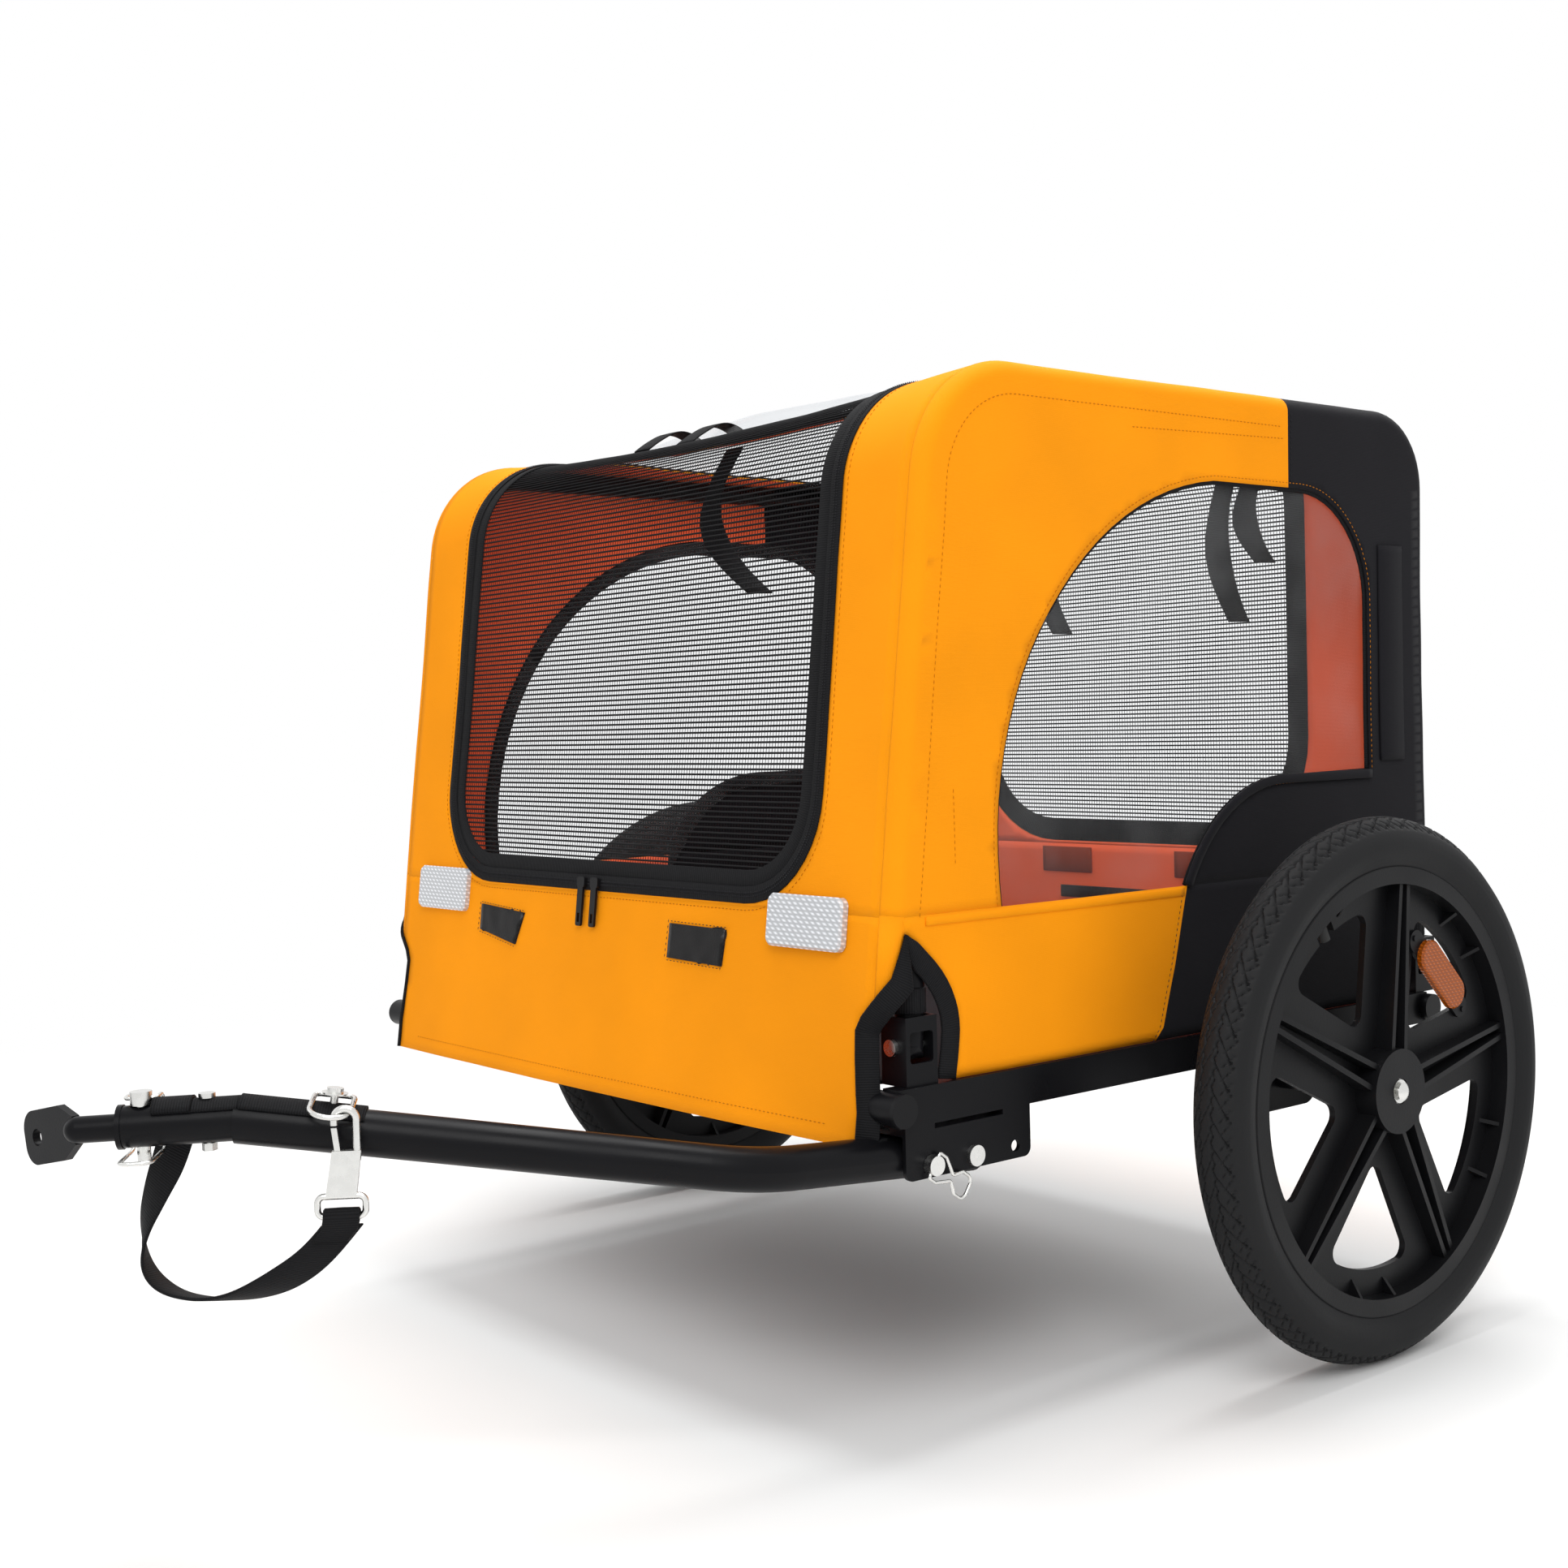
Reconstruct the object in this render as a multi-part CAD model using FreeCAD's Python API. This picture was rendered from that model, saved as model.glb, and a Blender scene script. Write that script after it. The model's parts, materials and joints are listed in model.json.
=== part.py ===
import FreeCAD, Part
import math
import os

# Two-wheeled pet trailer in millimetres, +Z up, front towards -Y, left side +X
# It is laid out from the axle line on the ground and moved to the middle of its box on export

V = FreeCAD.Vector
ORIGIN = V(0, 0, 0)
UP = V(0, 0, 1)
LEFTWARD = V(1, 0, 0)
REARWARD = V(0, 1, 0)
HALF = 0.5
HALF_TURN = 180
FULL_TURN = 360
NUT_SIDES = 6

# Shared clearances
OVERRUN = 5.0
SEAT_GAP = 0.3
RUN_FIT = 0.05
SLIDE_FIT = 0.2

# Tyre and inner tube
TYRE_OD = 400.0
TYRE_WIDTH = 41.0
TYRE_WALL = 3.4
TREAD_WIDTH = 27.0
TREAD_CROWN = 6.5
TYRE_OVER_RIM = 35.6
BEAD_WIDTH = 3.4
BEAD_CLEAR = 0.5
INNER_TUBE_R = 13.0
INNER_TUBE_WALL = 2.0
VALVE_R = 4.0
VALVE_REACH = 21.0
VALVE_ANGLE = 118.0
VALVE_NOTCH = 20.0

# Five-spoke moulded wheel
RIM_DEPTH = 13.4
RIM_BARREL = 4.0
RIM_WIDTH = 32.0
RIM_FLANGE = 3.5
RIM_LIP_ROUND = 1.5
SPOKES = 5
SPOKE_ANGLE = 10.0
WEB = 5.0
GAP_APEX_R = 50.0
GAP_EDGE = 19.0
GAP_HALF_ANGLE = 22.5
GAP_ROUND = 9.0
RIB = 4.0
RIB_HUB_SPREAD = 10.0
RIB_RIM_SPREAD = 6.5
RIB_HUB_HEIGHT = 14.5
RIB_RIM_HEIGHT = 10.0
GUSSET = 3.0
GUSSET_REACH = 12.0
GUSSET_HEIGHT = 10.0
GUSSET_ANGLE = 8.0
HUB_R = 31.0
HUB_OUT = 20.0
HUB_IN = 19.5
HUB_BORE_R = 9.0
HUB_CAP_R = 28.5
HUB_CAP = 2.0
HUB_CAP_HOLE_R = 9.5
BEARING_R = 14.0
BEARING_WIDTH = 8.0

# Reflector across one gap of each wheel
REFLECTOR_BELOW_RIM = 25.0
REFLECTOR_HALF_ANGLE = 24.16
REFLECTOR_BASE_WIDTH = 17.0
REFLECTOR_BASE = 3.0
REFLECTOR_LENS_INSET = 14.0
REFLECTOR_LENS_WIDTH = 26.0
REFLECTOR_LENS = 5.0
REFLECTOR_BEVEL = 1.5
REFLECTOR_SCREW_R = 2.2
REFLECTOR_SCREW_HEAD = 1.2
REFLECTOR_SCREW_INSET = 4.8

# Push-button axles
AXLE_R = 6.0
AXLE_INSIDE = 137.0
AXLE_COLLAR_R = 9.0
AXLE_HEAD_R = 8.6
AXLE_HEAD = 1.4
BUTTON_R = 6.8
BUTTON_CROWN = 2.4
BUTTON_TRAVEL = 2.5
BUTTON_STEM_R = 2.8
BUTTON_STEM = 16.0

# Frame
FRAME_OVER_AXLE = 30.5
AXLE_TO_FRONT_TUBE = 402.0
AXLE_TO_REAR_TUBE = 195.0
TUBE_OD = 22.0
TUBE_GAUGE = 1.5
TUBE_PAST_RAIL = 3.0
PLUG_FACE = 3.0
PLUG_SPIGOT = 12.0
RAIL_WIDTH = 15.0
RAIL_HEIGHT = 25.0
RAIL_PAST_BRACKET = 3.0
RAIL_TO_WHEEL = 82.0
AXLE_PLATE = 3.0
AXLE_PLATE_LENGTH = 80.0
AXLE_PLATE_BELOW = 26.0
AXLE_PLATE_ROUND = 14.0
AXLE_PLATE_SPACING = 38.0
SOCKET_R = 10.5
SOCKET_OUT = 20.0
SOCKET_IN = 50.0

# Folding hoops on hinge brackets
HOOP_SPAN = 619.0
HOOP_OD = 19.0
HOOP_GAUGE = 1.5
HOOP_HEIGHT = 441.0
HOOP_PIVOT_OVER_RAIL = 25.0
HOOP_BEHIND_FRONT_TUBE = 24.0
HOOP_FRONT_LEAN = 28.0
HOOP_BEHIND_REAR_TUBE = 3.0
HOOP_FRONT_BEND = 80.0
HOOP_REAR_BEND = 50.0
BRACKET_GAUGE = 2.5
BRACKET_SIDE_GAP = 1.9
BRACKET_ABOVE_PIVOT = 20.0
BRACKET_DEPTH = 23.5
BRACKET_WINDOW = 20.4
HOOP_BOLT_R = 3.0
HOOP_BOLT_HEAD_R = 5.5
HOOP_BOLT_HEAD = 3.2
NUT_R = 5.5
NUT = 5.0

# Drawbar bracket under the left rail
CHANNEL_LENGTH = 115.0
CHANNEL_BEHIND_FRONT_TUBE = 5.0
CHANNEL_PLATE = 3.0
CHANNEL_TOP = 2.5
CHANNEL_SLOT = 3.5
CHANNEL_BELOW_BOLT = 8.5
CHANNEL_ROUND = 6.0
CHANNEL_LUG = 26.0
CHANNEL_HOLES = 3
CHANNEL_HOLE_PITCH = 39.5
CHANNEL_FIRST_HOLE = 21.5
DRAWBAR_TOP_GAP = 6.4
DRAWBAR_SIDE_GAP = 0.5
DRAWBAR_BOLT_R = 4.0
DRAWBAR_BOLT_HEAD_R = 7.0
DRAWBAR_BOLT_HEAD = 3.6
LOCK_PIN_R = 4.0
LOCK_PIN_HEAD_R = 6.5
LOCK_PIN_HEAD = 6.5
LOCK_PIN_TAIL = 7.0
LOCK_RING = 2.0
LOCK_SLOT_ANGLE = 40.0
BAIL_R = 1.2
BAIL_HOLE = 2.6
BAIL_NECK = 2.6
BAIL_LEG = 7.0
BAIL_CRIMP = 19.0
BAIL_CRIMP_GAP = 0.8
BAIL_LOOP_HALF = 8.0
BAIL_LOOP_START = 26.0
BAIL_LOOP_END = 36.0
BAIL_BEND = 2.0
BAIL_LOOP_BEND = 5.0
BAIL_SLOPE = 35.0

# Drawbar, from its bolt
DRAWBAR_OD = 28.0
DRAWBAR_GAUGE = 2.0
DRAWBAR_TAIL = 14.0
DRAWBAR_BEND_AHEAD = 169.6
DRAWBAR_BEND_RISE = 14.1
DRAWBAR_BEND_R = 95.0
ELBOW_INWARD = 173.9
ELBOW_AHEAD = 426.7
ELBOW_RISE = 60.1

# Hitch sleeve, coupler and pin, along the sleeve from the elbow
SLEEVE_STEP = 3.0
SLEEVE_LENGTH = 68.0
SLEEVE_HEADING = 34.0
SLEEVE_SLOPE = -1.2
SLEEVE_LIP = 3.0
SLEEVE_LIP_PROUD = 0.8
COUPLER_R = 8.0
COUPLER_START = 34.0
COUPLER_END = 92.0
TONGUE_HEADING = 80.0
TONGUE_SLOPE = -12.0
TONGUE_LENGTH = 58.0
TONGUE_WIDTH = 33.0
TONGUE_THICK = 5.0
TONGUE_ROUND = 12.0
TONGUE_NECK = 17.0
TONGUE_SHOULDER = 15.0
TONGUE_HOLE_R = 5.25
TONGUE_HOLE_INSET = 14.5
HITCH_PIN_ALONG = 54.25
HITCH_PIN_R = 4.0
HITCH_PIN_HEAD_R = 6.5
HITCH_PIN_HEAD = 8.0
HITCH_PIN_TAIL = 9.0
CLIP_R = 1.25
CLIP_HOLE = 3.0
CLIP_BESIDE_HEAD = 1.6
CLIP_CLEAR = 3.2
CLIP_NEAR_REACH = 18.0
CLIP_BEND = 8.0
CLIP_END_BEND = 6.0

# Safety strap and what holds it
WEBBING = 2.0
WEBBING_GAP = 0.1
WEBBING_FRONT = 47.0
WEBBING_REAR = 76.0
WEBBING_SPREAD = 52.0
WRAP_START = 24.0
WRAP_TURN = 100.0
STRAP_SCREW_ALONG = 16.0
STRAP_SCREW_R = 2.5
STRAP_SCREW_HEAD_R = 5.0
STRAP_SCREW_HEAD = 2.8
STRAP_NUT_R = 4.6
STRAP_NUT = 4.5
RING_ALONG = 56.0
RING_WIRE_R = 1.6
RING_HALF_WIDTH = 12.0
RING_LEG = 22.0
RING_CORNER = 4.0
RING_BEYOND_SCREW = 5.0
RING_LIFT = 3.6
RING_TILT = 12.0
RING_WASHER_R = 8.0
RING_WASHER = 1.0
RING_SCREW_BITE = 6.0
HOOK_BESIDE_BAR = 9.0
HOOK_ALONG = 66.0
HOOK_BELOW_WEBBING = 4.8
HOOK_WIRE_R = 2.3
HOOK_BEND = 6.5
HOOK_LEG = 24.0
HOOK_NOSE = 3.0
HOOK_BODY_TOP = 18.0
HOOK_BODY_LEFT = 8.0
HOOK_BODY_RIGHT = 9.0
HOOK_BODY_BOTTOM = 45.0
HOOK_BODY_BOTTOM_HALF = 9.0
HOOK_BODY = 5.0
HOOK_EYE_SHIFT = 3.5
HOOK_EYE_HALF_WIDTH = 14.0
HOOK_EYE_BOTTOM = 57.0
HOOK_EYE_R = 2.0
HOOK_EYE_CORNER = 4.0
GATE_PIVOT_LEFT = 4.0
GATE_PIVOT_DROP = 25.0
GATE_PIVOT_R = 1.4
GATE_EYE_R = 3.2
GATE_WIDTH = 3.4
GATE = 2.8
GATE_SLOT = 3.4
STRAP_R = 4.0
STRAP_EXIT_ALONG = 36.0

# The strap's route between its two ends, from the elbow
STRAP_ROUTE = [
    V(-39.6, -23.3, -20.7),
    V(-47.6, -30.8, -43.2),
    V(-54.1, -37.8, -67.7),
    V(-52.6, -38.3, -90.7),
    V(-40.6, -30.3, -105.2),
    V(-21.6, -16.3, -109.7),
    V(-1.6, -1.3, -107.2),
    V(17.4, 12.7, -98.7),
    V(34.4, 24.7, -85.7),
    V(47.4, 34.2, -71.2),
]

# Fabric cover
CLOTH = 2.0
CLOTH_CLEAR = 0.5
HEM_AHEAD_OF_TUBE = 17.0
HEM_BELOW_TUBE = 25.5
REAR_HEM_BELOW_TUBE = 18.5
FRONT_SEAM_BEHIND_BEND = 13.0
REAR_SEAM_BEHIND_BEND = 12.0
FILM = 0.8
FILM_INSET = 0.6
CUTOUT_HALF_WIDTH = 37.0
CUTOUT_SPRING = 34.0
CUTOUT_HEIGHT = 102.0
CUTOUT_SHIFT = 5.0
CUTOUT_REACH = 64.0
DOOR_HALF_WIDTH = 245.0
DOOR_OVER_RAIL = 113.0
DOOR_ROUND = 76.0
REAR_DOOR_BELOW_TOP = 81.0
ZIP_WIDTH = 9.0
ZIP_PROUD = 0.8
SLIDER_WIDTH = 10.0
SLIDER_HEIGHT = 8.0
SLIDER = 4.0
PULL_WIDTH = 7.0
PULL_LENGTH = 30.0
PULL = 2.0
PULL_SLOT = 3.0
LEFT_SLIDER_X = -11.0
RIGHT_SLIDER_X = -29.0
WINDOW_FRONT = 302.0
WINDOW_REAR = 125.0
WINDOW_SILL_OVER_RAIL = 110.0
WINDOW_BELOW_TOP = 70.0
WINDOW_CROWN_FRONT = 66.0
WINDOW_CROWN_REAR = 40.0
WINDOW_SHOULDER_DROP = 91.0
ARCH_OVER_TYRE = 27.0
ARCH_FRONT = 108.0
ARCH_SPRING = 10.0
ROOF_WINDOW_HALF_WIDTH = 250.0
ROOF_WINDOW_MARGIN = 16.0
FLOOR_SIDE_GAP = 4.5
FLOOR_FRONT_GAP = 6.0
FLOOR_REAR_GAP = 5.0
FLOOR = 3.5
FLOOR_ROUND = 14.0
FRONT_REFLECTOR_X = 240.0
FRONT_REFLECTOR_OVER_RAIL = 103.0
FRONT_REFLECTOR_WIDTH = 78.0
FRONT_REFLECTOR_HEIGHT = 36.0
FRONT_REFLECTOR = 6.0
FRONT_REFLECTOR_ROUND = 6.0
FRONT_REFLECTOR_BEVEL = 1.6
NEAR_TAB_X = 118.0
FAR_TAB_X = -145.0
TAB_OVER_RAIL = 80.0
TAB_WIDTH = 66.0
TAB_HEIGHT = 26.0
TAB = 1.6
FRONT_TIE_XS = (-15.0, 179.0)
REAR_TIE_XS = (-72.0, 122.0)
TIE_WIDTH = 22.0
TIE = 1.4
FRONT_TIE_LENGTH = 134.0
REAR_TIE_LENGTH = 142.0
FRONT_TIE_BEHIND_SEAM = 6.0
REAR_TIE_BEHIND_BEND = 40.0

# Shares of the sizes that they follow
BEND_RUN_SHARE = 0.45
BOW_SHARE = math.sqrt(HALF)
WINDOW_FRONT_SHARES = (0.24, 0.68)
WINDOW_REAR_SHARES = (0.765, 0.348)
ARCH_SHARES = (0.627, 0.308)
CUTOUT_SHARES = (0.74, 0.62)

# Places worked out from the sizes above
TYRE_R = TYRE_OD * HALF
TUBE_R = TUBE_OD * HALF
HOOP_R = HOOP_OD * HALF
DRAWBAR_R = DRAWBAR_OD * HALF
SLEEVE_OD = DRAWBAR_OD - SLEEVE_STEP
SLEEVE_R = SLEEVE_OD * HALF
AXLE_Z = TYRE_R
FRAME_Z = AXLE_Z + FRAME_OVER_AXLE
RAIL_TOP_Z = FRAME_Z + RAIL_HEIGHT * HALF
RAIL_BOTTOM_Z = FRAME_Z - RAIL_HEIGHT * HALF
HOOP_X = HOOP_SPAN * HALF
COVER_ROUND = HOOP_R + CLOTH_CLEAR + CLOTH
COVER_X = HOOP_X + COVER_ROUND
BRACKET_X = HOOP_X + HOOP_R + CLOTH_CLEAR + BRACKET_GAUGE
RAIL_X = BRACKET_X + RAIL_PAST_BRACKET
WHEEL_X = RAIL_X + RAIL_TO_WHEEL
HOOP_PIVOT_Z = RAIL_TOP_Z + HOOP_PIVOT_OVER_RAIL
HOOP_TOP_Z = HOOP_PIVOT_Z + HOOP_HEIGHT
HOOP_FOOT_Y = HOOP_BEHIND_FRONT_TUBE - AXLE_TO_FRONT_TUBE
HOOP_REAR_Y = AXLE_TO_REAR_TUBE + HOOP_BEHIND_REAR_TUBE
HOOP_FRONT_CORNER = V(HOOP_X, HOOP_FOOT_Y + HOOP_FRONT_LEAN, HOOP_TOP_Z)
HOOP_REAR_CORNER = V(HOOP_X, HOOP_REAR_Y, HOOP_TOP_Z)
CHEEK_Y = HOOP_R + BRACKET_SIDE_GAP
RIM_LIP_R = TYRE_R - TYRE_OVER_RIM
RIM_BORE_R = RIM_LIP_R - RIM_DEPTH
RIM_WELL_R = RIM_BORE_R + RIM_BARREL
GAP_OUTER_R = RIM_BORE_R - GAP_EDGE
REFLECTOR_R = GAP_OUTER_R - REFLECTOR_BELOW_RIM
REFLECTOR_BASE_LENGTH = REFLECTOR_R * math.tan(math.radians(REFLECTOR_HALF_ANGLE)) / HALF
REFLECTOR_LENS_LENGTH = REFLECTOR_BASE_LENGTH - REFLECTOR_LENS_INSET / HALF
CHANNEL_FRONT_Y = CHANNEL_BEHIND_FRONT_TUBE - AXLE_TO_FRONT_TUBE
LOCK_PIN_Y = CHANNEL_FRONT_Y + CHANNEL_FIRST_HOLE
BOLT_Y = LOCK_PIN_Y + CHANNEL_HOLE_PITCH
BOLT_Z = RAIL_BOTTOM_Z - CHANNEL_SLOT - CHANNEL_TOP - DRAWBAR_TOP_GAP - DRAWBAR_R
DRAWBAR_X = RAIL_X - CHANNEL_PLATE - DRAWBAR_SIDE_GAP - DRAWBAR_R
CHANNEL_INNER_X = DRAWBAR_X - DRAWBAR_R - DRAWBAR_SIDE_GAP - CHANNEL_PLATE
BOLT_AT = V(DRAWBAR_X, BOLT_Y, BOLT_Z)
LOCK_AT = V(DRAWBAR_X, LOCK_PIN_Y, BOLT_Z)
BEND_AT = BOLT_AT + V(0, -DRAWBAR_BEND_AHEAD, DRAWBAR_BEND_RISE)
ELBOW_AT = BOLT_AT + V(-ELBOW_INWARD, -ELBOW_AHEAD, ELBOW_RISE)
HITCH_HEAD_Z = SLEEVE_R + SEAT_GAP
CLIP_HINGE_Z = HITCH_HEAD_Z + HITCH_PIN_HEAD * HALF
CLIP_LEG_X = HITCH_PIN_HEAD_R + CLIP_BESIDE_HEAD + CLIP_R
WEBBING_TOP = DRAWBAR_R + WEBBING_GAP + WEBBING
HOOK_OUT = DRAWBAR_R + HOOK_BESIDE_BAR
HOOK_LIFT = WEBBING_TOP - HOOK_BELOW_WEBBING
COVER_TOP_Z = HOOP_TOP_Z + COVER_ROUND
COVER_REAR_Y = HOOP_REAR_Y + COVER_ROUND
HEM_FRONT = V(0, -AXLE_TO_FRONT_TUBE - HEM_AHEAD_OF_TUBE, FRAME_Z - HEM_BELOW_TUBE)
LEAN_SLOPE = HOOP_FRONT_LEAN / HOOP_HEIGHT
FRONT_BEND_Z = HOOP_TOP_Z - HOOP_FRONT_BEND
FRONT_BEND_Y = (HOOP_FOOT_Y + LEAN_SLOPE * (FRONT_BEND_Z - HOOP_PIVOT_Z)
                + HOOP_FRONT_BEND / math.cos(math.atan(LEAN_SLOPE)))
FRONT_BEND_AT = V(0, FRONT_BEND_Y, FRONT_BEND_Z)
REAR_BEND_AT = V(0, HOOP_REAR_Y - HOOP_REAR_BEND, HOOP_TOP_Z - HOOP_REAR_BEND)
COVER_FRONT_R = HOOP_FRONT_BEND + COVER_ROUND
COVER_REAR_R = HOOP_REAR_BEND + COVER_ROUND
FRONT_SEAM_Y = FRONT_BEND_AT.y + FRONT_SEAM_BEHIND_BEND
REAR_SEAM_Y = REAR_BEND_AT.y + REAR_SEAM_BEHIND_BEND
SIDE_SEAM_X = COVER_X - COVER_ROUND
DOOR_BOTTOM_Z = RAIL_TOP_Z + DOOR_OVER_RAIL


# Plain shapes and moves

def box(x0, x1, y0, y1, z0, z1):
    return Part.makeBox(x1 - x0, y1 - y0, z1 - z0, V(x0, y0, z0))


def rod(start, end, radius):
    return Part.makeCylinder(radius, (end - start).Length, start, end - start)


def line(start, end):
    return Part.LineSegment(start, end).toShape()


def mirrored(shape):
    return shape.mirror(ORIGIN, LEFTWARD)


def pair(shape):
    return Part.makeCompound([shape, mirrored(shape)])


def rotated(shape, axis, angle, centre=ORIGIN):
    turned_copy = shape.copy()
    turned_copy.rotate(centre, axis, angle)
    return turned_copy


def shifted(shape, step):
    moved_copy = shape.copy()
    moved_copy.translate(step)
    return moved_copy


def placed(shape, origin, along, up=UP):
    # Local X runs along, local Z as near to up as it can
    x = V(along).normalize()
    y = up.cross(x).normalize()
    z = x.cross(y)
    where = FreeCAD.Matrix(x.x, y.x, z.x, origin.x, x.y, y.y, z.y, origin.y, x.z, y.z, z.z, origin.z)
    return shape.transformed(where, True)


def outline(start, *steps):
    # A step is the end of a line, or a pair of a point on an arc and the arc's end
    edges = []
    here = start
    for step in steps:
        if isinstance(step, tuple):
            via, there = step
            edges.append(Part.Arc(here, via, there).toShape())
        else:
            there = step
            edges.append(line(here, there))
        here = there
    if not here.isEqual(start, RUN_FIT):
        edges.append(line(here, start))
    return Part.Wire(edges)


def plate(wire, along):
    return Part.Face(wire).extrude(along)


def turned(wire, angle=FULL_TURN):
    return Part.Face(wire).revolve(ORIGIN, LEFTWARD, angle)


def between(start, end, shares):
    return V(start.x, start.y + (end.y - start.y) * shares[0], start.z + (end.z - start.z) * shares[1])


def bent_path(points, radii):
    # Straight runs joined by tangent arcs, one radius for each inner point
    edges = []
    here = points[0]
    for before, corner, after, radius in zip(points, points[1:], points[2:], radii):
        back = (before - corner).normalize()
        ahead = (after - corner).normalize()
        half_angle = HALF * back.getAngle(ahead)
        reach = radius / math.tan(half_angle)
        crown = corner + (back + ahead).normalize() * (radius / math.sin(half_angle) - radius)
        edges.append(line(here, corner + back * reach))
        edges.append(Part.Arc(corner + back * reach, crown, corner + ahead * reach).toShape())
        here = corner + ahead * reach
    edges.append(line(here, points[-1]))
    return Part.Wire(edges)


def swept(path, radius):
    first = path.OrderedEdges[0]
    start = path.OrderedVertexes[0].Point
    section = Part.Wire([Part.makeCircle(radius, start, first.tangentAt(first.FirstParameter))])
    return path.makePipeShell([section], True, False)


def wire_form(points, radii, radius):
    return swept(bent_path(points, radii), radius)


def edges_along(shape, direction):
    found = []
    for edge in shape.Edges:
        if isinstance(edge.Curve, Part.Line) and abs(edge.Curve.Direction.dot(direction)) > 1 - RUN_FIT:
            found.append(edge)
    return found


def rounded(shape, direction, radius):
    return shape.makeFillet(radius, edges_along(shape, direction))


NODES = {}


def put(node, *shapes):
    solids = []
    for shape in shapes:
        solids.extend(shape.Solids)
    NODES[node] = Part.makeCompound(solids)


# Wheels, made about their own axle with local X pointing out from the trailer

def tyre():
    bead_x = RIM_WIDTH * HALF - RIM_FLANGE - BEAD_CLEAR
    bead_r = RIM_WELL_R + SEAT_GAP
    lip_r = RIM_LIP_R + BEAD_CLEAR
    lip_x = RIM_WIDTH * HALF - BEAD_CLEAR
    bulge_r = (lip_r + TYRE_R) * HALF
    bulge_x = TYRE_WIDTH * HALF
    tread_x = TREAD_WIDTH * HALF
    tread_r = TYRE_R - TREAD_CROWN
    cavity_x = bead_x - BEAD_WIDTH
    wire = outline(
        V(bead_x, 0, bead_r),
        V(bead_x, 0, lip_r),
        V(lip_x, 0, lip_r),
        (V(bulge_x, 0, bulge_r), V(tread_x, 0, tread_r)),
        (V(0, 0, TYRE_R), V(-tread_x, 0, tread_r)),
        (V(-bulge_x, 0, bulge_r), V(-lip_x, 0, lip_r)),
        V(-bead_x, 0, lip_r),
        V(-bead_x, 0, bead_r),
        V(-cavity_x, 0, bead_r),
        V(-cavity_x, 0, lip_r),
        (V(TYRE_WALL - bulge_x, 0, bulge_r), V(TYRE_WALL - tread_x, 0, tread_r - TYRE_WALL)),
        (V(0, 0, TYRE_R - TYRE_WALL), V(tread_x - TYRE_WALL, 0, tread_r - TYRE_WALL)),
        (V(bulge_x - TYRE_WALL, 0, bulge_r), V(cavity_x, 0, lip_r)),
        V(cavity_x, 0, bead_r),
    )
    return turned(wire)


def inner_tube():
    ring_r = (RIM_LIP_R + TYRE_R - TYRE_WALL) * HALF
    hollow = Part.makeTorus(ring_r, INNER_TUBE_R - INNER_TUBE_WALL, ORIGIN, LEFTWARD)
    stem_top = ring_r - INNER_TUBE_R + INNER_TUBE_WALL * HALF
    stem = rod(V(0, stem_top, 0), V(0, RIM_BORE_R - VALVE_REACH, 0), VALVE_R)
    body = Part.makeTorus(ring_r, INNER_TUBE_R, ORIGIN, LEFTWARD).cut(hollow)
    return body.fuse(rotated(stem, LEFTWARD, VALVE_ANGLE))


def web_gap():
    # One rounded triangle between two spokes, along local +Y
    half_angle = math.radians(GAP_HALF_ANGLE)
    corner = V(-WEB, GAP_OUTER_R * math.cos(half_angle), GAP_OUTER_R * math.sin(half_angle))
    wire = outline(
        V(-WEB, GAP_APEX_R, 0),
        V(-WEB, corner.y, -corner.z),
        (V(-WEB, GAP_OUTER_R, 0), corner),
    )
    return rounded(plate(wire, V(WEB + WEB, 0, 0)), LEFTWARD, GAP_ROUND)


def spoke_rib():
    # One tapering wall of a spoke, drawn in inwards towards the rim
    inner = HUB_R - RIB
    outer = RIM_BORE_R + RIM_BARREL * HALF
    face = WEB * HALF
    wire = outline(
        V(0, inner, 0),
        V(0, outer, 0),
        V(face + RIB_RIM_HEIGHT, outer, 0),
        V(face + RIB_HUB_HEIGHT, inner, 0),
    )
    wall = shifted(plate(wire, V(0, 0, RIB)), V(0, 0, RIB_HUB_SPREAD - RIB))
    draw = math.degrees(math.atan2(RIB_HUB_SPREAD - RIB_RIM_SPREAD, outer - inner))
    return rotated(wall, LEFTWARD, -draw, V(0, inner, RIB_HUB_SPREAD))


def rim_gusset():
    outer = RIM_BORE_R + RIM_BARREL * HALF
    face = WEB * HALF
    wire = outline(
        V(0, outer, 0),
        V(0, RIM_BORE_R - GUSSET_REACH, 0),
        V(face, RIM_BORE_R - GUSSET_REACH, 0),
        V(face + GUSSET_HEIGHT, RIM_BORE_R, 0),
        V(face + GUSSET_HEIGHT, outer, 0),
    )
    return shifted(plate(wire, V(0, 0, GUSSET)), V(0, 0, -GUSSET * HALF))


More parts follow.
